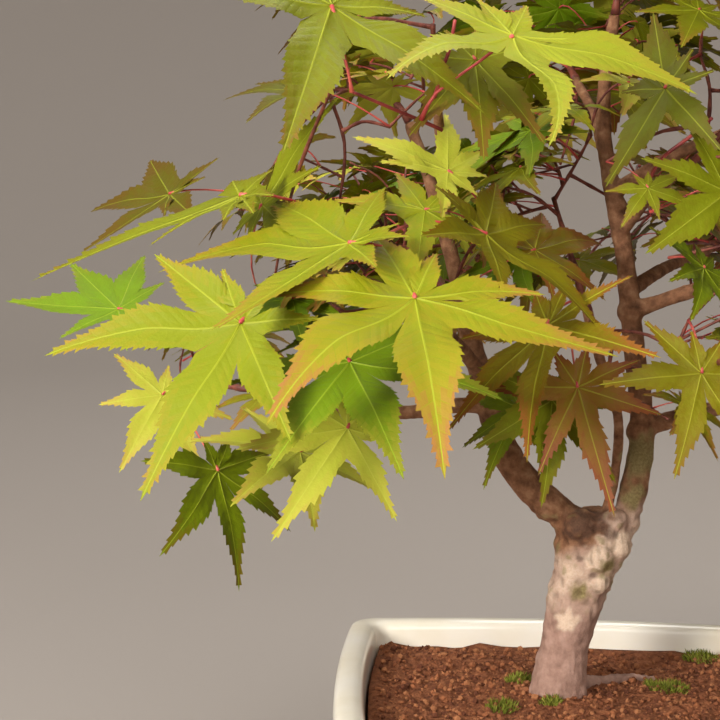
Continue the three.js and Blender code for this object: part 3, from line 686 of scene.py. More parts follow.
# The photo's open sky, [left, top, right, bottom] in its pixels
SKY_WINDOWS = np.array([
    [0, 0, 186, 150], [186, 24, 272, 140], [272, 100, 300, 150], [0, 340, 92, 720], [92, 480, 130, 720],
    [0, 600, 540, 720], [400, 485, 560, 620], [410, 415, 455, 620], [640, 495, 720, 640], [362, 96, 415, 126],
    [546, 174, 604, 240], [642, 224, 684, 320], [577, 0, 607, 24], [690, 36, 718, 62],
])


def in_open_sky(points):
    """True if a point would show in a part of the photo that is open sky."""
    across, down, _ = in_photo(points)
    left, top, right, low = SKY_WINDOWS.T[:, :, None]
    return bool(np.any((across > left) & (across < right) & (down > top) & (down < low)))


def clear_of_sky(name, leaf):
    """True if a small leaf stays in its space, out of the open sky and behind the named leaves."""
    tips = leaf.tips
    in_place = inside_crown(tips) and inside_space(name, tips, LEAF_ROOM.space)
    return in_place and not in_open_sky(tips) and behind_named_leaves(name, leaf)


def grow_shoot(name, parent, share, twigs, leaves, random):
    """A side shoot with pairs of small leaves, where it finds room."""
    node, tangent = point_along(parent.path, share)
    if in_open_sky(node[None]):
        return
    outward = outward_at(node)
    for _ in range(SHOOT.tries):
        way = outward + tangent * random()
        way += (np.array([random(), random(), 0]) - [0.5, 0.5, 0]) * SHOOT.spread
        way[2] = between(SHOOT.rise, random())
        end = node + unit(way) * between(SHOOT.length, random())
        path = twig_path(node, end, random)
        fits = (
            not in_open_sky(path)
            and inside_crown(path)
            and inside_space(name, path, SHOOT.room)
            and clear_of_limbs(path[1:-1], path[2:], SHOOT.room)
        )
        found = leaf_pairs(name, path, SHOOT_LEAVES, clear_of_sky, twigs, leaves, random) if fits else []
        if found:
            twigs.append(new_twig(path, 2))
            leaves.extend(found)
            parent.forks.append(share)
            return


def grow_shoots(name, twigs, leaves):
    """Shoots on every twig of a mass."""
    random = seeded(MASSES[name].seed + SHOOT_SEED)
    for parent in list(twigs):
        for share in TWIG.fork_places:
            if share not in parent.forks:
                grow_shoot(name, parent, share, twigs, leaves, random)


def gives_way(leaf, shown):
    """True if a leaf grown by rule runs into a leaf in view or hides its middle."""
    if segment_gaps(*rib_segments(leaf), *rib_segments(shown)).min() < LEAF_ROOM.midribs:
        return True
    return hides_middle(np.vstack([leaf.centre[None], leaf.tips]), shown, LEAVES_CLEAR_SHARE)


def hides_middle(points, shown, share):
    """True if a point stands between the camera and the middle of a leaf in view."""
    across, down, depth = in_photo(points)
    middle_across, middle_down, middle_depth = in_photo(shown.centre)
    reach = share * shown.size * LENS_PIXELS / middle_depth
    apart = np.hypot(across - middle_across, down - middle_down)
    return bool(np.any((apart < reach) & (depth < middle_depth - 1)))


def tuck_behind(leaf, shown):
    """Moves a leaf's node back until its twig and petiole pass behind the others in view."""
    twig = leaf.twig
    others = [other for other in shown if other is not leaf]
    push = np.linspace(0, 1, len(twig.path))[:, None] * CAMERA_FORWARD * TUCK_STEP
    for _ in range(TUCK_STEPS):
        node = twig.path[-1]
        way = np.vstack([through_points(twig.path, TUCKED_POINTS), (node + leaf.centre) / 2])
        if not any(hides_middle(way, other, TUCK_SHARE) for other in others):
            break
        twig.path = twig.path + push
    leaf.foot = twig.path[-1]


def kept(leaves, shown):
    """The leaves in view, and the others where they leave room for them and for the sky."""
    return [
        leaf for leaf in leaves
        if leaf.ends or not (in_open_sky(leaf.tips) or any(gives_way(leaf, other) for other in shown))
    ]


def clear_view(twigs, leaves, shown):
    """Twigs and leaves without the twigs that cross a leaf in view and what they carry."""
    held = []
    for twig in twigs:
        if twig.order == 0 or twig.in_view:
            held.append(twig)
            continue
        path = through_points(twig.path, TWIG_POINTS)
        crosses = any(hides_middle(path, leaf, TWIGS_CLEAR_SHARE) for leaf in shown)
        if not crosses and touch(twig.path[:1], held):
            held.append(twig)
    return held, [leaf for leaf in leaves if leaf.ends or touch([leaf.foot], held)]


def touch(points, twigs):
    """True if one of the points lies on one of the twigs."""
    points = np.reshape(points, (-1, 3))
    starts = np.vstack([twig.path[:-1] for twig in twigs])
    ends = np.vstack([twig.path[1:] for twig in twigs])
    return len(points) > 0 and segment_gaps(points, points + DOT, starts, ends).min() < FOOT_REACH


def without_bare_twigs(twigs, leaves):
    """Twigs that carry a leaf or another twig, from the finest back to the stem."""
    feet = [leaf.foot for leaf in leaves]
    held = []
    for twig in reversed(twigs):
        if touch(feet, [twig]):
            held.append(twig)
            feet.append(twig.path[0])
    return held[::-1]


def grow_all():
    grown = {name: grow_mass(name) for name in MASS_NAMES}
    more = [
        [mass, CAMERA_AT + line_of_sight(place[:2]) * place[2], *rest] for mass, place, *rest in MORE_LEAVES
    ]
    for name, (twigs, leaves) in grown.items():
        grow_named_leaves(name, more, twigs, leaves, seeded(MASSES[name].seed + MORE_SEED))
    shown = [leaf for _, leaves in grown.values() for leaf in leaves if leaf.ends]
    for leaf in shown:
        leaf.centre = leaf.centre + CAMERA_FORWARD * leaf.ends.get("back", 0)
    for leaf in shown:
        tuck_behind(leaf, shown)
    for name, (twigs, leaves) in grown.items():
        leaves[:] = kept(leaves, shown)
        grow_shoots(name, twigs, leaves)
        twigs[:], leaves[:] = clear_view(twigs, kept(leaves, shown), shown)
        twigs[:] = without_bare_twigs(twigs, leaves)
    return grown


# Meshes from arrays

def new_object(name, data):
    thing = bpy.data.objects.new(name, data)
    bpy.context.scene.collection.objects.link(thing)
    return thing


def mesh_piece(name, points, faces, materials, tints=None, smooth=True):
    """A mesh object from points in millimetres and faces of equal size."""
    faces = np.asarray(faces)
    mesh = bpy.data.meshes.new(name)
    mesh.vertices.add(len(points))
    mesh.vertices.foreach_set("co", (np.asarray(points) * MM).ravel())
    mesh.loops.add(faces.size)
    mesh.loops.foreach_set("vertex_index", faces.ravel())
    mesh.polygons.add(len(faces))
    mesh.polygons.foreach_set("loop_start", np.arange(len(faces)) * faces.shape[1])
    for material in materials:
        mesh.materials.append(material)
    if tints is not None:
        mesh.polygons.foreach_set("material_index", tints)
    mesh.polygons.foreach_set("use_smooth", np.full(len(faces), smooth))
    mesh.update(calc_edges=True)
    mesh.validate()
    return new_object(name, mesh)


# A tube's ends close this far past its last rings, to this radius; it counts
# as steep where its rise is more than this share of its length.
END_SHARE = 0.05
END_RADIUS = 0.03
STEEP_SHARE = 0.8


def ring_angles(sides):
    return 2 * math.pi * np.arange(sides) / sides


def level_ring(x, y, half_width, half_depth, height, sides):
    angles = ring_angles(sides)
    across = x + half_width * np.cos(angles)
    return np.stack([across, y + half_depth * np.sin(angles), np.full(sides, height)], -1)


def ring_quads(count, sides):
    """Quads between following rings of points."""
    first = np.arange(count - 1)[:, None] * sides
    k = np.arange(sides)[None]
    following = (k + 1) % sides
    corners = [first + k, first + k + sides, first + following + sides, first + following]
    return np.stack(corners, -1).reshape(-1, 4)


def tube_arrays(paths, radii, sides):
    """Points and faces of many tubes; every path has the same number of points."""
    paths = np.asarray(paths, float)
    radii = np.asarray(radii, float)
    tubes, count = paths.shape[:2]
    tangents = np.gradient(paths, axis=1)
    tangents /= np.linalg.norm(tangents, axis=-1, keepdims=True)
    main_way = paths[:, -1] - paths[:, 0]
    steep = np.abs(main_way[:, 2]) > STEEP_SHARE * np.linalg.norm(main_way, axis=1)
    reference = np.where(steep[:, None], [1.0, 0, 0], [0, 0, 1.0])[:, None, :]
    across = np.cross(tangents, reference)
    across /= np.linalg.norm(across, axis=-1, keepdims=True)
    above = np.cross(across, tangents)
    angles = ring_angles(sides)[:, None]
    ring = across[:, :, None] * np.cos(angles) + above[:, :, None] * np.sin(angles)
    points = (paths[:, :, None] + ring * radii[:, :, None, None]).reshape(-1, 3)
    offsets = (np.arange(tubes) * count * sides)[:, None, None]
    return points, (ring_quads(count, sides)[None] + offsets).reshape(-1, 4)


def tube_piece(name, paths, radii, sides, material):
    """A piece of tubes whose ends close to a point just past the last ring."""
    paths = np.asarray(paths, float)
    radii = np.asarray(radii, float)
    before = paths[:, :1] + (paths[:, :1] - paths[:, 1:2]) * END_SHARE
    after = paths[:, -1:] + (paths[:, -1:] - paths[:, -2:-1]) * END_SHARE
    ends = np.full((len(paths), 1), END_RADIUS)
    paths = np.concatenate([before, paths, after], 1)
    points, faces = tube_arrays(paths, np.concatenate([ends, radii, ends], 1), sides)
    return mesh_piece(name, points, faces, [material])


# Leaves

# Half widths along a lobe: [share of the lobe's length, share of the widest]
LOBE_PROFILE = [
    [0.3, 0.87], [0.36, 0.97], [0.43, 1], [0.52, 0.9], [0.6, 0.72],
    [0.68, 0.52], [0.77, 0.33], [0.86, 0.2], [0.94, 0.11], [1, 0],
]
LOBE_WIDTHS = [0.148, 0.143, 0.152, 0.18]

# The blade's form, in shares of the leaf's size or of a lobe's length. The
# profile starts a gap past the notch; a fold starts before the notch and is
# full some way past it; bends, arches and folds are ranges to draw from.
BLADE = Values(
    lengths=[0.25, 1.5], least_lobe=0.5, notch=0.26, deepest_notch=0.6, heel_notch=0.05,
    widest_heel=50, profile_gap=0.05, fold_start=0.8, fold_full=0.25, hump=[0.1, 0.5],
    bends=[-0.05, 0.05], arches=[-0.01, 0.05], folds=[0.08, 0.3],
)
VEIN = Values(
    slant=0.9, width=0.0075, taper=0.65, widest=0.4, height=0.006, pucker=0.0022,
    least_blade=1e-4,
)

# Teeth grow from the notch out and shrink again towards the tip; a short lobe
# has a smaller share of their number.
TOOTH = Values(
    size=0.032, spread=[0.6, 1.35], toothed=0.95, least=3, numbers=[0.35, 1],
    first=0.1, growth=2.4, shrinking=0.4,
)

# Rows across each tooth: [place in its stretch, forward shift, outward share, lift]
FINE_LEAF = Values(
    web=4, teeth=12, columns=[0.35, 0.68, 0.9, 1],
    rows=[
        [0.4, 0.08, 0.45, 0.7], [0.5, -0.02, 0.15, 1], [0.86, 0.22, 1, -0.3], [0.92, 0.16, 1, -0.3],
        [1, -0.03, -0.1, 0.5],
    ],
)
MIDDLE_LEAF = Values(
    web=3, teeth=9, columns=[0.45, 0.8, 1],
    rows=[[0.45, 0.05, 0.4, 0.9], [0.84, 0.2, 1, -0.3], [1, -0.02, -0.1, 0.5]],
)
PLAIN_LEAF = Values(
    web=1, teeth=5, columns=[0.6, 1],
    rows=[[0.82, 0.2, 1, 1], [1, -0.02, -0.1, -1]],
)

# Leaves in view that are larger than this are drawn fine; a tooth's row of
# faces that is its side vein; the marks of faces on veins; how many blades
# the other leaves share; and the steps to where a line of sight meets a blade
FINE_SIZE = 40
SIDE_VEIN_ROW = 3
SIDE_VEIN = 1
MIDRIB = 2
PLAIN_VARIANTS = 10
SIGHT_STEPS = 6

TINT_STEPS = 9

# Tints of each family from young to ripe, as seen in soft daylight; some families are painted light or
# painted shade for leaves that hang in shade, as noted at each
FAMILIES = {
    "lime": [(130, 139, 12), (147, 137, 22), (160, 113, 52)],
    # Painted light: lime set lighter, for a leaf that hangs in shade
    "lime_painted_light": [(150, 157, 32), (158, 149, 38), (168, 128, 54)],
    # Pale tints, partly the leaves' own colour and partly painted light: set lighter for pale leaves that
    # hang in shade
    "pale": [(182, 187, 56), (184, 178, 60), (186, 154, 70)],
    "bright": [(114, 146, 16), (112, 136, 18), (138, 140, 34)],
    "green": [(122, 129, 14), (118, 115, 14), (130, 102, 32)],
    "dark": [(124, 143, 12), (108, 123, 12), (116, 102, 18)],
    "olive": [(126, 121, 12), (122, 104, 12), (136, 84, 30)],
    # Painted shade: darker greens for leaves that hang in shade
    "deep": [(94, 98, 8), (92, 86, 8), (98, 76, 16)],
    "bronze": [(130, 110, 20), (138, 95, 32), (134, 72, 34)],
}
FAMILY_NAMES = list(FAMILIES)
VEIN_PALENESS = 0.34
PALE_TINT = (204, 206, 88)

# How a leaf's tint ripens along its lobes, to their edges and to one side of
# the leaf, in bands and blotches, and less on side veins and at the tips
RIPENING = Values(
    lobe=0.24, lobe_from=0.35, lobe_full=0.9, edge=0.3, edge_start=0.3, side=0.1,
    band=0.04, bands=23, band_turn=9, blotch=0.13, blotches=[37, 5, 11, 19],
    side_vein=0.22, tip=0.35,
)

# Leaves grown by rule are riper on the right. Each row: the least ripeness,
# the families, the share of the first one, and the start and the spread of
# the ripeness of the tint itself.
RIPE = Values(on_left=0.32, to_right=0.2, start=-60, full=90, spread=0.32)
FAMILY_RULES = [
    [0.62, ["bronze"], 1, 0.1, 0.6],
    [0.5, ["olive"], 1, 0.1, 0.6],
    # Some leaves in this band take the deep tints, painted shade
    [0.38, ["deep", "green"], 0.3, 0, 0.6],
    [0.3, ["lime"], 1, 0, 0.5],
    [0, ["pale", "bright"], 0.5, 0, 0.4],
]


def blade_place(leaf, pixel):
    """Where a pixel's line of sight meets the leaf's blade: angle and length, for size 1."""
    way = line_of_sight(pixel)
    ahead, side, face = leaf.axes
    length = 1
    for _ in range(SIGHT_STEPS):
        level = leaf.centre - face * leaf.droop * leaf.size * length**2
        depth = (level - CAMERA_AT) @ face / (way @ face)
        place = (CAMERA_AT + way * depth - leaf.centre) / leaf.size
        length = min(math.hypot(place @ ahead, place @ side), BLADE.lengths[1])
    return math.atan2(place @ side, place @ ahead), max(length, BLADE.lengths[0])


def lobes_of(leaf):
    """Angle, length, widest half width and number of every lobe, in order of their angles."""
    lobes = []
    for place in range(-3, 4):
        order = abs(place)
        angle = math.copysign(math.radians(LEAF.lobe_angles[order]), place)
        length = LEAF.lobe_lengths[order]
        if leaf and place in leaf.ends:
            angle, length = blade_place(leaf, leaf.ends[place])
        widest = LOBE_WIDTHS[order] * max(length, BLADE.least_lobe * LEAF.lobe_lengths[order])
        widest *= leaf.ends.get("widths", {}).get(place, 1) if leaf else 1
        lobes.append([angle, length, widest, place])
    return sorted(lobes)


def half_lobe_rows(length, widest, half_gap, notch, kind, random):
    """Rows across half a lobe.

    Each row has its place on the rib, the lobe's smooth half width, its place
    along the lobe, the place and the width of its edge, and its lift.
    """
    notch_along = notch * math.cos(half_gap)
    shares, widths = np.array(LOBE_PROFILE).T
    past_notch = shares > notch_along / length + BLADE.profile_gap
    known_along = np.concatenate([[0, notch_along], shares[past_notch] * length])
    known_width = np.concatenate([[0, notch * math.sin(half_gap)], widths[past_notch] * widest])
    rows = [[notch_along * k / kind.web, 0, 0, 0] for k in range(kind.web + 1)]
    teeth = max(TOOTH.least, round(kind.teeth * between(TOOTH.numbers, min(length, 1))))
    stretch = (TOOTH.toothed * length - notch_along) / teeth
    for tooth in range(teeth):
        reached = (tooth + 0.5) / teeth
        size = TOOTH.size * math.sqrt(length) * between(TOOTH.spread, random())
        size *= min(1, TOOTH.first + TOOTH.growth * reached) * (1 - TOOTH.shrinking * reached)
        for place, shift, outward, lift in kind.rows:
            rows.append([notch_along + stretch * (tooth + place), shift * stretch, outward * size, lift])
    rows.append([length, 0, 0, 0])
    along, shift, jag, lift = np.array(rows).T
    smooth_width = np.interp(along, known_along, known_width)
    edge_place = along + shift
    edge_width = np.maximum(np.interp(edge_place, known_along, known_width) + jag, 0)
    rib = np.maximum.accumulate(np.maximum(along - VEIN.slant * smooth_width, 0))
    return rib, smooth_width, along, edge_place, edge_width, lift


def half_lobe_grid(lobe, shape, rows, half, kind, notch_along):
    """The grid of one half of a lobe, in the blade's plane and above it."""
    angle, length, _, _ = lobe
    bend, arch, fold = shape
    rib, smooth_width, along, edge_place, edge_width, lift = rows
    vein = VEIN.width * (1 - VEIN.taper * along / length)
    vein = np.minimum(vein / np.maximum(smooth_width, VEIN.least_blade), VEIN.widest)
    columns = [np.zeros_like(vein), vein] + [vein + (1 - vein) * column for column in kind.columns]
    across = np.stack(columns, axis=1)
    x = rib[:, None] + (along - rib)[:, None] * across
    y = smooth_width[:, None] * across
    x[:, -1] = edge_place
    y[:, -1] = edge_width
    folded_from = BLADE.fold_start * notch_along
    free = smooth_step(folded_from, notch_along + BLADE.fold_full * length, along)[:, None]
    z = fold * y * free + VEIN.pucker * lift[:, None] * 4 * across * (1 - across)
    z[:, 0] += VEIN.height * (1 - along / length)
    share = np.clip(x / length, 0, 1)
    hump = 4 * share * (1 - share) * smooth_step(*BLADE.hump, share)
    y = half * y + bend * length * hump
    z = z + arch * length * hump
    plan_x = x * math.cos(angle) - y * math.sin(angle)
    plan_y = x * math.sin(angle) + y * math.cos(angle)
    return np.stack([plan_x, plan_y, z], -1), share, across


def leaf_template(kind, random, leaf=None):
    """A blade of size 1: its points, its faces and each face's place.

    A place has its share of the lobe's length, its share of the half width,
    the lobe's angle and whether it is on a vein.
    """
    lobes = lobes_of(leaf)
    points = []
    faces = []
    places = []
    first = 0
    for index, lobe in enumerate(lobes):
        angle, length, widest, place = lobe
        bend = leaf.ends.get("bends", {}).get(place, 0) if leaf else between(BLADE.bends, random())
        shape = (bend, between(BLADE.arches, random()), between(BLADE.folds, random()))
        for half in (1, -1):
            beside = index + half
            if 0 <= beside < len(lobes):
                half_gap = abs(lobes[beside][0] - angle) / 2
                notch = BLADE.notch * (length + lobes[beside][1]) / 2
            else:
                half_gap = min(math.pi - abs(angle), math.radians(BLADE.widest_heel))
                notch = BLADE.heel_notch
            notch = min(notch, BLADE.deepest_notch * length)
            rows = half_lobe_rows(length, widest, half_gap, notch, kind, random)
            grid, share, across = half_lobe_grid(lobe, shape, rows, half, kind, notch * math.cos(half_gap))
            points.append(grid.reshape(-1, 3))
            count, wide = across.shape
            row, column = np.divmod(np.arange((count - 1) * (wide - 1)), wide - 1)
            corner = first + row * wide + column
            quads = np.stack([corner, corner + wide, corner + wide + 1, corner + 1], -1)
            faces.append(quads if half == -1 else quads[:, ::-1])
            u = (share[row, column] + share[row + 1, column + 1]) / 2
            c = (across[row, column] + across[row + 1, column + 1]) / 2
            tooth_row = (row - kind.web) % len(kind.rows)
            side_vein = (row > kind.web) & (tooth_row == SIDE_VEIN_ROW) & (kind is FINE_LEAF)
            vein = np.where(column == 0, MIDRIB, np.where(side_vein, SIDE_VEIN, 0))
            places.append(np.stack([u, c, np.full(len(u), angle), vein], -1))
            first += count * wide
    return np.vstack(points), np.vstack(faces), np.vstack(places)


def leaf_tints(leaf, places, random):
    """The material of every face of a leaf."""
    family, ripeness = leaf.tint
    lean = 2 * math.pi * random()
    u, c, angle, vein = places.T
    rule = RIPENING
    lobe_waves, lobe_turn, edge_waves, cross_waves = rule.blotches
    value = ripeness + (rule.lobe + ripeness) * smooth_step(rule.lobe_from, rule.lobe_full, u)
    value += rule.edge * c * c * (rule.edge_start + u)
    bands = np.sin(rule.bands * u + rule.band_turn * angle)
    value += rule.side * np.cos(angle - lean) * u + rule.band * bands
    blotches = np.sin(lobe_waves * u + lobe_turn * angle) * np.sin(edge_waves * c + cross_waves * u)
    value += rule.blotch * blotches
    value -= np.where(vein == SIDE_VEIN, rule.side_vein, 0) + rule.tip * smooth_step(rule.lobe_full, 1, u)
    step = np.clip(value * TINT_STEPS, 0, TINT_STEPS - 1).astype(int)
    row = FAMILY_NAMES.index(family)
    midrib = len(FAMILIES) * TINT_STEPS + row
    return np.where(vein == MIDRIB, midrib, row * TINT_STEPS + step).astype(int)


def family_for(leaf, random):
    """A tint for a leaf grown by rule."""
    to_right = smooth_step(RIPE.start, RIPE.full, leaf.centre[0])
    ripe = RIPE.on_left + RIPE.to_right * to_right + RIPE.spread * (random() - 0.5)
    _, families, share, start, spread = next(rule for rule in FAMILY_RULES if ripe > rule[0])
    second = share < 1 and random() >= share
    return families[second], start + spread * random()


def leaf_arrays(leaves, templates, random):
    """Points, faces and tints of all the leaves of one piece."""
    all_points = []
    all_faces = []
    all_tints = []
    total = 0
    for leaf in leaves:
        if not leaf.tint:
            leaf.tint = family_for(leaf, random)
        points, faces, places = leaf.template or templates[int(random() * len(templates))]
        ahead, side, face = leaf.axes
        radial = np.hypot(points[:, 0], points[:, 1])
        lifted = points[:, 2] - leaf.droop * radial**2
        placed = points[:, :1] * ahead + points[:, 1:2] * side + lifted[:, None] * face
        all_points.append(leaf.centre + leaf.size * placed)
        all_faces.append(faces + total)
        all_tints.append(leaf_tints(leaf, places, random))
        total += len(points)
    return np.vstack(all_points), np.vstack(all_faces), np.concatenate(all_tints)


def sight_path(pixels, depth, behind, count):
    """A smooth path through places in the photo, each a little farther back."""
    places = [
        CAMERA_AT + line_of_sight(pixel) * (depth + behind * step) for step, pixel in enumerate(pixels)
    ]
    return through_points(places, count)


PETIOLE = Values(
    points=7, sides=6, bend_back=0.35, bend_under=0.1, top=0.35,
    thickness=0.008, least=0.06, shape=[1.7, 1.05, 0.9, 0.85, 0.85, 1, 1.4],
    start=1, behind=3,
)


def petiole_path(leaf):
    """A petiole leaves its node straight and comes up to the blade from behind."""
    centre = leaf.centre
    if leaf.ends and "petiole" in leaf.ends:
        pixels = [in_photo(centre)[:2]] + leaf.ends["petiole"]
        depth = (centre - CAMERA_AT) @ CAMERA_FORWARD - PETIOLE.start
        return sight_path(pixels, depth, PETIOLE.behind, PETIOLE.points)[::-1]
    ahead, _, face = leaf.axes
    reach = np.linalg.norm(centre - leaf.foot)
    bend = centre - ahead * PETIOLE.bend_back * reach - face * PETIOLE.bend_under * reach
    return bent_path(leaf.foot, bend, centre + face * PETIOLE.top, PETIOLE.points)


# Materials

def linear(colour):
    """An 8-bit screen colour as linear light."""
    share = np.array(colour, float) / 255
    return np.where(share <= 0.04045, share / 12.92, ((share + 0.055) / 1.055) ** 2.4)


def shader_of(material):
    return material.node_tree.nodes["Principled BSDF"]


def new_material(name, colour, roughness, specular):
    material = bpy.data.materials.new(name)
    material.use_nodes = True
    shader = shader_of(material)
    shader.inputs["Base Color"].default_value = (*linear(colour), 1)
    shader.inputs["Roughness"].default_value = roughness
    shader.inputs["Specular IOR Level"].default_value = specular
    return material


def noise_output(material, scale, detail, roughness):
    nodes = material.node_tree.nodes
    place = nodes.new("ShaderNodeTexCoord")
    texture = nodes.new("ShaderNodeTexNoise")
    texture.inputs["Scale"].default_value = scale
    texture.inputs["Detail"].default_value = detail
    texture.inputs["Roughness"].default_value = roughness
    material.node_tree.links.new(place.outputs["Object"], texture.inputs["Vector"])
    return texture.outputs["Fac"]


def add_bump(material, height, distance, strength):
    links = material.node_tree.links
    bump = material.node_tree.nodes.new("ShaderNodeBump")
    bump.inputs["Distance"].default_value = distance
    bump.inputs["Strength"].default_value = strength
    links.new(height, bump.inputs["Height"])
    links.new(bump.outputs["Normal"], shader_of(material).inputs["Normal"])


def colour_ramp(material, factor, stops):
    """Colours along a factor; returns the ramp's colour output."""
    nodes = material.node_tree.nodes
    ramp = nodes.new("ShaderNodeValToRGB")
    elements = ramp.color_ramp.elements
    while len(elements) < len(stops):
        elements.new(0.5)
    for element, (place, colour) in zip(elements, stops):
        element.position = place
        element.color = (*linear(colour), 1)
    material.node_tree.links.new(factor, ramp.inputs["Fac"])
    return ramp.outputs["Color"]


def mix_colours(material, factor, low, high):
    nodes = material.node_tree.nodes
    links = material.node_tree.links
    mix = nodes.new("ShaderNodeMix")
    mix.data_type = "RGBA"
    links.new(factor, mix.inputs["Factor"])
    links.new(low, mix.inputs["A"])
    links.new(high, mix.inputs["B"])
    return mix.outputs["Result"]


def set_colour(material, output):
    material.node_tree.links.new(output, shader_of(material).inputs["Base Color"])


def textured_material(name, colour, finish, noise, stops=None, bump=None):
    """A material with one noise, which its colours, its bumps or both follow.

    The finish is its roughness and shine, the noise a scale, a detail and a
    roughness, each stop a place and a colour, and the bumps a height and a
    strength.
    """
    material = new_material(name, colour, *finish)
    pattern = noise_output(material, *noise)
    if stops:
        set_colour(material, colour_ramp(material, pattern, stops))
    if bump:
        add_bump(material, pattern, *bump)
    return material


def leaf_material(name, colour):
    """A plain tint with the fine unevenness of a leaf's skin."""
    return textured_material(name, colour, finish=(0.5, 0.2), noise=(900, 3, 0.6), bump=(0.0003, 0.5))


def leaf_materials():
    materials = []
    # The painted light and painted shade of some families go into their materials and vein tints too
    for family, stops in FAMILIES.items():
        stops = np.array(stops, float)
        for step in range(TINT_STEPS):
            place = 2 * step / (TINT_STEPS - 1)
            colour = [np.interp(place, [0, 1, 2], stops[:, channel]) for channel in range(3)]
            materials.append(leaf_material(f"leaf_{family}_{step + 1}", colour))
    for family, stops in FAMILIES.items():
        colour = (1 - VEIN_PALENESS) * np.array(stops[0]) + VEIN_PALENESS * np.array(PALE_TINT)
        materials.append(leaf_material(f"leaf_vein_{family}", colour))
    return materials


# Bark: its smooth colours, and for each mark its noise and its colours
SMOOTH_BARK = [(0.32, (142, 110, 96)), (0.5, (167, 132, 116)), (0.68, (185, 150, 134))]
BARK_MARKS = {
    "bough": ["blotches", [(0.3, (94, 62, 43)), (0.52, (144, 100, 71)), (0.72, (177, 134, 100))]],
    "pale": ["fine", [(0.35, (220, 190, 162)), (0.65, (236, 212, 188))]],
    "green": ["fine", [(0.35, (128, 112, 70)), (0.65, (154, 138, 94))]],
    "dark": ["fine", [(0.35, (70, 50, 42)), (0.65, (98, 72, 58))]],
}


def bark_material():
    """Bark coloured by the marks that its mesh holds, with fine streaks."""
    material = new_material("maple_bark", (150, 124, 106), 0.82, 0.25)
    noises = {
        "blotches": noise_output(material, scale=260, detail=5, roughness=0.6),
        "fine": noise_output(material, scale=1400, detail=4, roughness=0.65),
    }
    colour = colour_ramp(material, noises["blotches"], SMOOTH_BARK)
    for mark, (pattern, stops) in BARK_MARKS.items():
        reader = material.node_tree.nodes.new("ShaderNodeAttribute")
        reader.attribute_name = mark
        marked = colour_ramp(material, noises[pattern], stops)
        colour = mix_colours(material, reader.outputs["Fac"], colour, marked)
    set_colour(material, colour)
    add_bump(material, noises["fine"], distance=0.0005, strength=0.6)
    return material


def glaze_material():
    material = textured_material(
        "cream_glaze", (236, 228, 208), finish=(0.2, 0.5), noise=(28, 4, 0.55),
        stops=[(0.3, (244, 234, 210)), (0.5, (250, 243, 226)), (0.7, (252, 247, 236))],
    )
    shader_of(material).inputs["Coat Weight"].default_value = 0.4
    shader_of(material).inputs["Coat Roughness"].default_value = 0.12
    ripples = noise_output(material, scale=60, detail=3, roughness=0.5)
    add_bump(material, ripples, distance=0.001, strength=0.12)
    return material


def soil_material():
    return textured_material(
        "moist_soil", (104, 60, 40), finish=(0.95, 0.2), noise=(420, 6, 0.7),
        stops=[(0.32, (92, 53, 35)), (0.5, (139, 85, 56)), (0.66, (165, 108, 73))], bump=(0.0015, 0.9),
    )


def crumb_materials():
    colours = [(131, 80, 53), (152, 95, 62), (166, 110, 73), (101, 59, 40)]
    look = {"finish": (0.95, 0.2), "noise": (1500, 4, 0.6), "bump": (0.0004, 0.8)}
    return [
        textured_material(f"soil_crumb_{number}", colour, **look) for number, colour in enumerate(colours, 1)
    ]


def twig_material():
    return textured_material(
        "young_twig_bark", (112, 62, 50), finish=(0.55, 0.35), noise=(300, 4, 0.6),
        stops=[(0.35, (92, 44, 38)), (0.6, (140, 76, 60))],
    )


def shown_twig_material():
    return textured_material(
        "red_twig_bark", (150, 58, 56), finish=(0.45, 0.4), noise=(160, 4, 0.55),
        stops=[(0.35, (116, 44, 44)), (0.65, (186, 76, 70))],
    )


def petiole_material():
    return textured_material(
        "red_petiole", (188, 74, 70), finish=(0.42, 0.4), noise=(220, 3, 0.5),
        stops=[(0.35, (186, 62, 64)), (0.65, (220, 106, 92))],
    )


def moss_materials():
    colours = {"moss_dark": (92, 98, 28), "moss_green": (122, 128, 40), "moss_bright": (150, 152, 62)}
    return [new_material(name, colour, 0.8, 0.2) for name, colour in colours.items()]


def stage_material():
    return new_material("plain_stage", (160, 152, 145), 0.9, 0.2)


# The crown's pieces

LEAF_SEED = 70

# Each piece of leaves stands for some of the masses.
LEAF_PIECES = {
    "leaves_front_left": ["left_front_mass", "left_upper_front_mass", "left_low_mass"],
    "leaves_left": ["left_upper_mass", "left_back_mass", "heart_mass"],
    "leaves_front_right": ["front_mass", "front_upper_mass", "right_front_mass"],
    "leaves_right": ["right_low_mass", "right_upper_mass"],
    "leaves_back": ["right_back_mass", "back_upper_mass"],
    "leaves_top": ["top_mass"],
}


def crown_leaves(grown):
    materials = leaf_materials()
    random = seeded(LEAF_SEED)
    templates = [leaf_template(PLAIN_LEAF, random) for _ in range(PLAIN_VARIANTS)]
    for piece_name, masses in LEAF_PIECES.items():
        leaves = [leaf for mass in masses for leaf in grown[mass][1]]
        for leaf in leaves:
            if leaf.ends:
                kind = FINE_LEAF if leaf.size > FINE_SIZE else MIDDLE_LEAF
                leaf.template = leaf_template(kind, random, leaf)
        points, faces, tints = leaf_arrays(leaves, templates, random)
        used, tints = np.unique(tints, return_inverse=True)
        piece = mesh_piece(piece_name, points, faces, [materials[index] for index in used], tints)
        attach(piece, "root")
        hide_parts(*masses)


# Twigs swell a little in even steps; their radii at both ends go by their order.
TWIG_TUBE = Values(points=10, sides=7, swelling=0.16, swellings=3)
TWIG_RADII = [[1.3, 0.65], [0.62, 0.42], [0.45, 0.3]]


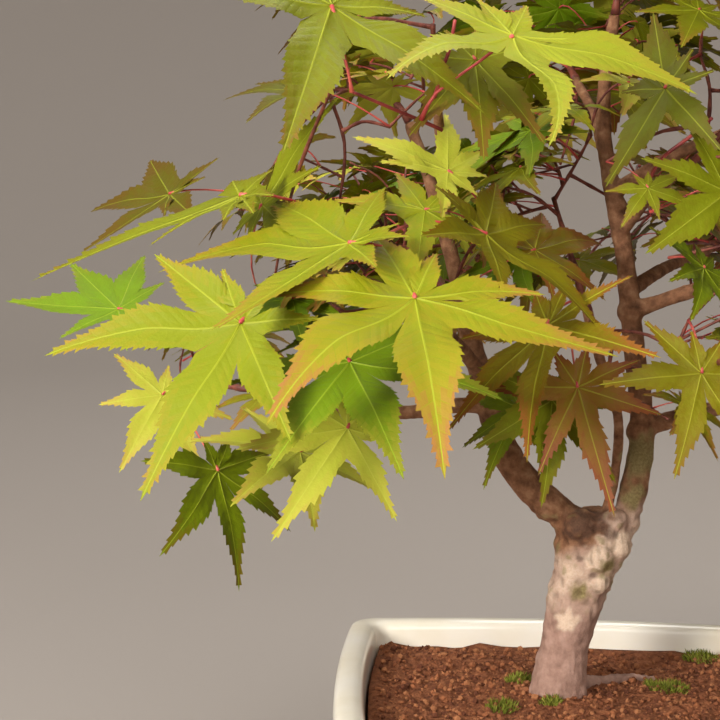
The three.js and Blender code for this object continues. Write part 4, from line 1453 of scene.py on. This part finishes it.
def crown_twigs(grown):
    all_twigs = [twig for twigs, _ in grown.values() for twig in twigs]
    count = TWIG_TUBE.points
    waves = np.cos(np.linspace(0, 2 * math.pi * TWIG_TUBE.swellings, count))
    swelling = 1 + TWIG_TUBE.swelling * waves
    paths = [through_points(twig.path, count) for twig in all_twigs]
    radii = [np.linspace(*TWIG_RADII[twig.order], count) * swelling for twig in all_twigs]
    piece = tube_piece("twigs", paths, radii, TWIG_TUBE.sides, twig_material())
    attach(piece, "root")


# Young twigs that the photo shows: their pixels, depth and radii, and how far
# each next pixel lies behind the one before
SHOWN_TWIGS = [
    [[[350, 91], [372, 100], [398, 111], [422, 121], [442, 130]], 401, [0.42, 0.55]],
    [[[455, 20], [450, 48], [441, 72], [436, 93], [422, 121]], 398, [0.45, 0.55]],
    [[[712, 118], [694, 134], [662, 158], [650, 180], [646, 200]], 420, [0.5, 0.5]],
]
SHOWN_TUBE = Values(points=10, sides=8, behind=4)


def shown_twigs():
    count = SHOWN_TUBE.points
    paths = [sight_path(pixels, depth, SHOWN_TUBE.behind, count) for pixels, depth, _ in SHOWN_TWIGS]
    radii = [np.linspace(*ends, count) for _, _, ends in SHOWN_TWIGS]
    piece = tube_piece("shown_twigs", paths, radii, SHOWN_TUBE.sides, shown_twig_material())
    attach(piece, "root")


def crown_petioles(grown):
    leaves = [leaf for _, leaves in grown.values() for leaf in leaves]
    paths = [petiole_path(leaf) for leaf in leaves]
    shape = np.array(PETIOLE.shape)
    radii = [shape * (PETIOLE.thickness * leaf.size + PETIOLE.least) for leaf in leaves]
    piece = tube_piece("petioles", paths, radii, PETIOLE.sides, petiole_material())
    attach(piece, "root")


# The trunk and boughs

BARK_SEED = 31
BARK_SKIN = Values(voxel=0.55, relax=0.5, relax_steps=5)
TRUNK = Values(rings=60, sides=40, sunk=1, flare=0.05, lobes=3, turn=0.6, flare_heights=[66, 55])
LIMB = Values(sides=14, step=1.5, least_rings=8, swelling=0.07, gap=13, sharpness=4, turn=6)
KNOB = Values(sides=14, rings=9, tilt=75)

# Knobs, scars and marks, each [middle, radius]
KNOBS = [
    [[-6, -4, 108], 6], [[4.6, -3, 102], 4.8], [[-1, -5, 100], 5.3], [[4, -4, 110], 4.2],
    [[-9, -3, 81], 4.6], [[-1, -5, 92], 4.2], [[-33, 0, 141], 3.6], [[11, 0, 137], 4.2],
    [[7, 0, 173], 4.2], [[-41, 5, 168], 3.6], [[2, 2, 204], 3.2],
]
PALE_SCARS = [[[-9.5, -7, 80.5], 3], [[0.5, -8, 92], 3], [[6.5, -8, 104], 4.2], [[-1, -9, 99], 4]]
GREEN_MARKS = [[[2, -9, 97], 3], [[-6, -8, 89], 2.6], [[9, -6, 118], 4], [[12, -3, 130], 6]]
DARK_MARKS = [
    [[-5.5, -7, 109.5], 4.5], [[-0.5, -5, 110], 3.6], [[2.4, -7, 107], 2], [[-2.5, -8, 95], 1.3],
    [[-6, -7, 99], 1.2],
]

# The right bough is drawn slimmer than the solid where it leaves the fork.
SLIM_RIGHT_BOUGH = Values(
    radii=[4.6, 1.7],
    route=[[4, 0, 104], [8.2, 0, 112], [10.8, 0, 125], [11.8, 0, 135], *BOUGHS["right_bough"].route[4:]],
)
SURFACE_ROOTS = [Values(radii=[3, 1.2], route=[[-6, 3, 57], [2, 10, 55.6], [12, 18, 54.8], [22, 23, 53.4]])]


def trunk_arrays():
    """The trunk as fine rings, flaring into the soil, closed at both ends."""
    rings = np.array(TRUNK_RINGS, float)
    rings[0, 2] = SOIL_LEVEL - TRUNK.sunk
    waves = TRUNK.flare * np.cos(TRUNK.lobes * ring_angles(TRUNK.sides) + TRUNK.turn)
    points = []
    for height in np.linspace(rings[0, 2], rings[-1, 2], TRUNK.rings):
        x, y, half_width, half_depth = (np.interp(height, rings[:, 2], rings[:, k]) for k in (0, 1, 3, 4))
        flare = 1 + waves * smooth_step(*TRUNK.flare_heights, height)
        points.append(level_ring(x, y, half_width * flare, half_depth * flare, height, TRUNK.sides))
    return closed_rings(np.array(points))


def closed_rings(rings):
    """Triangles of a closed body through rings of equal count."""
    count, sides = rings.shape[:2]
    points = np.vstack([rings.reshape(-1, 3), rings[0].mean(0), rings[-1].mean(0)])
    k = np.arange(sides)
    following = (k + 1) % sides
    faces = []
    for ring in range(count - 1):
        low = ring * sides
        faces.append(np.stack([low + k, low + following, low + following + sides], -1))
        faces.append(np.stack([low + k, low + following + sides, low + k + sides], -1))
    last = (count - 1) * sides
    faces.append(np.stack([np.full(sides, count * sides), following, k], -1))
    faces.append(np.stack([np.full(sides, count * sides + 1), last + k, last + following], -1))
    return points, np.vstack(faces)


def limb_arrays(limb, random):
    """A bough as fine rings with slight swellings where leaves once grew."""
    route = np.array(limb.route, float)
    length = np.linalg.norm(np.diff(route, axis=0), axis=1).sum()
    count = max(LIMB.least_rings, int(length / LIMB.step))
    waves = np.cos(2 * math.pi * np.linspace(0, length, count) / LIMB.gap + LIMB.turn * random())
    swelling = 1 + LIMB.swelling * np.maximum(0, waves) ** LIMB.sharpness
    radii = np.linspace(*limb.radii, count) * swelling
    points, _ = tube_arrays([through_points(route, count)], [radii], LIMB.sides)
    return closed_rings(points.reshape(count, LIMB.sides, 3))


def knob_arrays(centre, radius):
    """A small faceted ball."""
    x, y, z = centre
    rings = []
    for tilt in np.radians(np.linspace(-KNOB.tilt, KNOB.tilt, KNOB.rings)):
        flat = radius * math.cos(tilt)
        rings.append(level_ring(x, y, flat, flat, z + radius * math.sin(tilt), KNOB.sides))
    return closed_rings(np.array(rings))


def bark_skin():
    """One skin over trunk, boughs, knobs and surface roots."""
    random = seeded(BARK_SEED)
    limbs = dict(BOUGHS, right_bough=SLIM_RIGHT_BOUGH)
    parts = [trunk_arrays()]
    parts += [limb_arrays(limb, random) for limb in [*limbs.values(), *SURFACE_ROOTS]]
    parts += [knob_arrays(*knob) for knob in KNOBS]
    starts = np.cumsum([0] + [len(points) for points, _ in parts])
    points = np.vstack([points for points, _ in parts])
    faces = np.vstack([faces + start for (_, faces), start in zip(parts, starts)])
    rough = mesh_piece("bark_rough", points, faces, [])
    remesh = rough.modifiers.new("skin", "REMESH")
    remesh.mode = "VOXEL"
    remesh.voxel_size = BARK_SKIN.voxel * MM
    relax = rough.modifiers.new("relax", "SMOOTH")
    relax.factor = BARK_SKIN.relax
    relax.iterations = BARK_SKIN.relax_steps
    graph = bpy.context.evaluated_depsgraph_get()
    skin = bpy.data.meshes.new_from_object(rough.evaluated_get(graph))
    skin.name = "bark"
    bpy.data.objects.remove(rough)
    return skin


# A mark fades between these shares of its radius, unevenly.
MARK_FADE = Values(start=1.5, full=0.6, unevenness=0.7)

# Sizes of the bark's noises, how high they stand, and where the trunk's
# rougher bark and its fork begin and end
BARK_NOISES = {"broad": 7, "middle": 2.4, "ridges": np.array([1.1, 1.1, 5])}
RELIEF = Values(
    broad=0.34, middle=0.2, ridges=0.2, everywhere=0.5, trunk=0.9, scar=0.35,
    fork_middle=0.5, fork_broad=0.3, trunk_top=[120, 108], trunk_reach=22, fork_heights=[78, 90],
)

# Where the boughs' brown bark begins: its height on the left, its rise to the
# right, how it wavers, and how it blends in
BOUGH_BARK = Values(height=98, rise=14, across=[-5, 5], waver=4, blend=7, blend_waver=5)
MARK_COLOURS = Values(
    scar=0.9, fork_pale=[0.4, 0.6], moss=0.6, moss_from=[0.3, 0.6],
    dark=0.75, cracks=0.4, crack_depth=-0.6, crack_ridges=0.6,
)


def near_marks(places, marks, unevenness):
    """How strongly each place is marked, from 0 to 1, with an uneven edge."""
    strength = np.zeros(len(places))
    for centre, radius in marks:
        distance = np.linalg.norm(places - np.array(centre), axis=1) / radius
        distance = distance + MARK_FADE.unevenness * unevenness
        strength = np.maximum(strength, smooth_step(MARK_FADE.start, MARK_FADE.full, distance))
    return strength


def vertex_vectors(mesh, name):
    values = np.empty(len(mesh.vertices) * 3)
    mesh.vertices.foreach_get(name, values)
    return values.reshape(-1, 3)


def bark_relief(skin):
    """Bumps, ridges and marks on the skin."""
    places = vertex_vectors(skin, "co") / MM
    broad, middle, ridges = (
        np.array([noise.noise(Vector(place / size)) for place in places]) for size in BARK_NOISES.values()
    )
    on_trunk = smooth_step(*RELIEF.trunk_top, places[:, 2]) * (np.abs(places[:, 0]) < RELIEF.trunk_reach)
    fork = on_trunk * smooth_step(*RELIEF.fork_heights, places[:, 2])
    scars = near_marks(places, PALE_SCARS, middle)
    height = RELIEF.broad * broad + RELIEF.middle * middle + RELIEF.ridges * ridges
    height *= RELIEF.everywhere + RELIEF.trunk * on_trunk
    height += fork * (RELIEF.fork_middle * middle + RELIEF.fork_broad * broad)
    height += RELIEF.scar * scars
    places = places + vertex_vectors(skin, "normal") * height[:, None]
    skin.vertices.foreach_set("co", (places * MM).ravel())
    for name, values in bark_marks(places, broad, middle, ridges, fork, scars).items():
        layer = skin.attributes.new(name, "FLOAT", "POINT")
        layer.data.foreach_set("value", np.asarray(values, np.float32))


def bark_marks(places, broad, middle, ridges, fork, scars):
    """How brown, pale, green and dark the bark is at every place."""
    to_right = smooth_step(*BOUGH_BARK.across, places[:, 0] + BOUGH_BARK.waver * middle)
    start = BOUGH_BARK.height + BOUGH_BARK.rise * to_right
    above = places[:, 2] + BOUGH_BARK.blend_waver * broad - start
    bough = smooth_step(0, BOUGH_BARK.blend, above)
    fork_pale = fork * (1 - bough) * (MARK_COLOURS.fork_pale[0] + MARK_COLOURS.fork_pale[1] * broad)
    mossy = MARK_COLOURS.moss * fork * smooth_step(*MARK_COLOURS.moss_from, middle)
    cracks = smooth_step(0, MARK_COLOURS.crack_depth, middle + MARK_COLOURS.crack_ridges * ridges)
    dark = MARK_COLOURS.dark * near_marks(places, DARK_MARKS, middle)
    return {
        "bough": bough,
        "pale": np.maximum(MARK_COLOURS.scar * scars, fork_pale),
        "green": np.maximum(near_marks(places, GREEN_MARKS, middle), mossy),
        "dark": np.maximum(dark, MARK_COLOURS.cracks * fork * cracks),
    }


def bark():
    skin = bark_skin()
    bark_relief(skin)
    skin.polygons.foreach_set("use_smooth", np.ones(len(skin.polygons), bool))
    skin.materials.append(bark_material())
    skin.update()
    piece = new_object("bark", skin)
    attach(piece, "root")
    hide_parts("trunk", *BOUGHS)


# The pot, the soil and the moss

CORNER_STEPS = 10
BOW_STEPS = 16
PROFILE_CUTS = 3
CUT_SHARE = 0.25


def pot_plan(inset, height):
    """The pot's plan at one height: bowed sides and round corners."""
    half_length = POT.length / 2 - inset
    half_width = POT.width / 2 - inset
    radius = max(POT.corner_radius - inset * POT.corner_tightening, POT.least_corner_radius)
    plan = []
    corners = [[1, -1, -90], [1, 1, 0], [-1, 1, 90], [-1, -1, 180]]
    for index, (side_x, side_y, start_angle) in enumerate(corners):
        for step in range(CORNER_STEPS + 1):
            angle = math.radians(start_angle + 90 * step / CORNER_STEPS)
            plan.append([
                side_x * (half_length - radius) + radius * math.cos(angle),
                side_y * (half_width - radius) + radius * math.sin(angle),
                height,
            ])
        upright = index % 2 == 0
        reach = half_width - radius if upright else half_length - radius
        bow = POT.short_bow if upright else POT.long_bow
        for place in np.linspace(-1, 1, BOW_STEPS + 2)[1:-1]:
            out = bow * (1 - place * place)
            if upright:
                plan.append([side_x * (half_length + out), side_x * place * reach, height])
            else:
                plan.append([-side_y * place * reach, side_y * (half_width + out), height])
    return plan


def cut_corners(line, times):
    """The line with its corners rounded by cutting them, its ends kept."""
    line = np.array(line, float)
    for _ in range(times):
        low = (1 - CUT_SHARE) * line[:-1] + CUT_SHARE * line[1:]
        high = CUT_SHARE * line[:-1] + (1 - CUT_SHARE) * line[1:]
        middle = np.stack([low, high], 1).reshape(-1, 2)
        line = np.vstack([line[:1], middle[1:-1], line[-1:]])
    return line


def pot():
    rings = np.array([pot_plan(inset, height) for inset, height in cut_corners(POT_PROFILE, PROFILE_CUTS)])
    points, faces = closed_rings(rings)
    piece = mesh_piece("glazed_pot", points, faces, [glaze_material()])
    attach(piece, "root")
    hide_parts("pot")


# The soil's relief: how far it lies under its solid's top; the clods' sizes
# and heights; a mound round the trunk and a hollow behind it, [x, y, spread,
# height]; and its rings from the pot's wall to the middle, [inset, inset, count]
SOIL_SINK = 0.8
CLODS = [[9, 0.9], [3.4, 1.1], [1.5, 0.6]]
MOUNDS = [[-12, 0, 500, 2.2], [20, 34, 150, -3.2]]
SOIL_RINGS = [10.2, 58, 66]
SOIL_SKIRT = 10


def soil_height(x, y):
    place = Vector((x, y, 0))
    height = SOIL_LEVEL - SOIL_SINK + sum(rise * noise.noise(place / size) for size, rise in CLODS)
    for middle_x, middle_y, spread, rise in MOUNDS:
        height += rise * math.exp(-((x - middle_x) ** 2 + (y - middle_y) ** 2) / spread)
    return height


def soil():
    """Rings of the pot's inner plan drawn in to the middle, with crumbly relief."""
    rings = []
    for inset in np.linspace(*SOIL_RINGS):
        ring = np.array(pot_plan(inset, SOIL_LEVEL))
        ring[:, 2] = [soil_height(x, y) for x, y, _ in ring]
        rings.append(ring)
    skirt = rings[0].copy()
    skirt[:, 2] = SOIL_LEVEL - SOIL_SKIRT
    points, faces = closed_rings(np.array([skirt] + rings))
    piece = mesh_piece("soil_bed", points, faces, [soil_material()])
    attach(piece, "root")
    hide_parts("soil")


# Crumbs: their number, how far they stay from the pot's outside, their sizes,
# most of them small, how uneven they are and how high they lie
CRUMB = Values(
    seed=5, count=5200, edge=11, least=0.3, growth=1, rarity=3,
    stretch=[0.6, 1.1], unevenness=[0.8, 1.2], rise=0.2,
)
CRUMB_CORNERS = np.array([
    [1, 0, 0], [-1, 0, 0], [0, 1, 0], [0, -1, 0], [0, 0, 1], [0, 0, -1],
    [0.6, 0.6, 0.6], [-0.6, 0.6, 0.6], [-0.6, -0.6, 0.6], [0.6, -0.6, 0.6],
])
CRUMB_FACES = np.array([
    [0, 6, 9], [0, 2, 6], [2, 7, 6], [2, 1, 7], [1, 8, 7], [1, 3, 8], [3, 9, 8], [3, 0, 9],
    [4, 6, 7], [4, 7, 8], [4, 8, 9], [4, 9, 6], [5, 2, 0], [5, 1, 2], [5, 3, 1], [5, 0, 3],
])


def soil_crumbs():
    random = np.random.default_rng(CRUMB.seed)
    count = CRUMB.count
    reach = np.array([POT.length / 2 - CRUMB.edge, POT.width / 2 - CRUMB.edge])
    centres = random.uniform(-1, 1, (count, 2)) * reach
    heights = np.array([soil_height(x, y) for x, y in centres])
    sizes = CRUMB.least + CRUMB.growth * random.random(count) ** CRUMB.rarity
    stretch = random.uniform(*CRUMB.stretch, (count, 1, 3))
    turns = random.uniform(0, 2 * math.pi, count)[:, None]
    bodies = CRUMB_CORNERS[None] * stretch * sizes[:, None, None]
    bodies *= random.uniform(*CRUMB.unevenness, (count, len(CRUMB_CORNERS), 1))
    x, y, z = np.moveaxis(bodies, -1, 0)
    turned = np.stack([x * np.cos(turns) - y * np.sin(turns), x * np.sin(turns) + y * np.cos(turns), z], -1)
    middles = np.column_stack([centres, heights + CRUMB.rise * sizes])
    points = (turned + middles[:, None]).reshape(-1, 3)
    offsets = np.arange(count)[:, None, None] * len(CRUMB_CORNERS)
    faces = (CRUMB_FACES[None] + offsets).reshape(-1, 3)
    materials = crumb_materials()
    tints = np.repeat(random.integers(0, len(materials), count), len(CRUMB_FACES))
    piece = mesh_piece("soil_crumbs", points, faces, materials, tints, smooth=False)
    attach(piece, "root")


# Moss tufts, [x, y, radius], and their blades, shorter and leaning outward
# towards the tuft's edge
MOSS_TUFTS = [
    [24, 12, 7], [-29, -15, 5], [-22, 10, 4], [-14, -11, 3], [52, -30, 7], [-48, -38, 6], [40, 44, 6],
]
MOSS = Values(
    seed=8, blades=55, lean=0.6, outward=0.5, shrinking=0.5, heights=[1.4, 3.4],
    half_width=0.35, turn=7,
)


def moss_blade(x, y, radius, angle, share, random):
    """One blade of a tuft, as a triangle."""
    way = np.array([math.cos(angle), math.sin(angle)])
    root = np.array([x + radius * share * way[0], y + radius * share * way[1], 0])
    root[2] = soil_height(root[0], root[1])
    lean = random.uniform(-MOSS.lean, MOSS.lean, 2) + MOSS.outward * share * way
    height = (1 - MOSS.shrinking * share) * random.uniform(*MOSS.heights)
    turn = angle * MOSS.turn
    across = np.array([math.cos(turn), math.sin(turn), 0]) * MOSS.half_width
    return [root - across, root + across, root + np.array([*lean, 1]) * height]


def moss():
    random = np.random.default_rng(MOSS.seed)
    materials = moss_materials()
    points = []
    tints = []
    for x, y, radius in MOSS_TUFTS:
        count = MOSS.blades * radius
        angles = random.uniform(0, 2 * math.pi, count)
        shares = np.sqrt(random.random(count))
        for angle, share in zip(angles, shares):
            points += moss_blade(x, y, radius, angle, share, random)
            tints.append(random.integers(0, len(materials)))
    faces = np.arange(len(points)).reshape(-1, 3)
    piece = mesh_piece("moss", np.array(points), faces, materials, np.array(tints))
    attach(piece, "root")


# Stage, light and camera

STAGE = Values(radius=2100, bend=800, bend_steps=12, height=2600, middle=20, sides=72)
STUDIO_LIGHT = Values(colour=(1, 0.98, 0.95, 1), strength=1.03)
LIGHTS = {
    "key_light": Values(
        at=(-0.9, -0.8, 1.3), target=(0, 0, 0.16), size=0.9, power=10.4,
        colour=(1, 0.97, 0.92), spread=180,
    ),
    "low_light": Values(
        at=(-0.8, -1, 0.5), target=(0, 0, 0.08), size=0.4, power=1.4,
        colour=(1, 0.97, 0.93), spread=50,
    ),
    "fill_light": Values(
        at=(0.5, -1.4, 1), target=(0, 0, 0.15), size=1, power=11,
        colour=(1, 0.98, 0.96), spread=180,
    ),
    "back_light": Values(
        at=(0.3, 1.1, 1.7), target=(0, 0, 0.15), size=0.8, power=8,
        colour=(1, 0.98, 0.95), spread=180,
    ),
}
CLIP = [0.01, 20]


def stage():
    """A floor that turns up into a round wall, the same from every side, and its middle."""
    flat = STAGE.radius - STAGE.bend
    profile = [[STAGE.middle, 0], [flat, 0]]
    for angle in np.linspace(0, math.pi / 2, STAGE.bend_steps + 1)[1:]:
        profile.append([flat + STAGE.bend * math.sin(angle), STAGE.bend * (1 - math.cos(angle))])
    profile.append([STAGE.radius, STAGE.height])
    sides = STAGE.sides
    rings = np.array([level_ring(0, 0, radius, radius, height, sides) for radius, height in profile])
    k = np.arange(sides)
    fan = np.stack([k, (k + 1) % sides, np.full(sides, sides)], -1)
    material = stage_material()
    floor = mesh_piece("stage", rings.reshape(-1, 3), ring_quads(len(rings), sides)[:, ::-1], [material])
    middle = mesh_piece("stage_middle", np.vstack([rings[0], [[0, 0, 0]]]), fan, [material])


def area_light(name, facts):
    light = bpy.data.lights.new(name, "AREA")
    light.shape = "DISK"
    light.size = facts.size
    light.energy = facts.power
    light.color = facts.colour
    light.spread = math.radians(facts.spread)
    lamp = new_object(name, light)
    lamp.location = facts.at
    way = Vector(facts.target) - Vector(facts.at)
    lamp.rotation_euler = way.to_track_quat("-Z", "Y").to_euler()


def lights():
    world = bpy.data.worlds.new("studio")
    bpy.context.scene.world = world
    world.use_nodes = True
    background = world.node_tree.nodes["Background"]
    background.inputs["Color"].default_value = STUDIO_LIGHT.colour
    background.inputs["Strength"].default_value = STUDIO_LIGHT.strength
    for name, facts in LIGHTS.items():
        area_light(name, facts)


def camera():
    lens = bpy.data.cameras.new("camera")
    lens.sensor_width = SENSOR_WIDTH
    lens.lens = SENSOR_WIDTH * LENS_PIXELS / PHOTO_SIDE
    lens.clip_start, lens.clip_end = CLIP
    eye = new_object("camera", lens)
    turn = Matrix((CAMERA_RIGHT, CAMERA_UP, -CAMERA_FORWARD)).transposed()
    eye.matrix_world = Matrix.Translation(CAMERA_AT * MM) @ turn.to_4x4()
    bpy.context.scene.camera = eye
    bpy.context.scene.view_settings.view_transform = "Standard"


camera()
lights()
stage()
pot()
soil()
soil_crumbs()
moss()
bark()
grown = grow_all()
crown_leaves(grown)
crown_twigs(grown)
crown_petioles(grown)
shown_twigs()

bpy.context.view_layer.update()
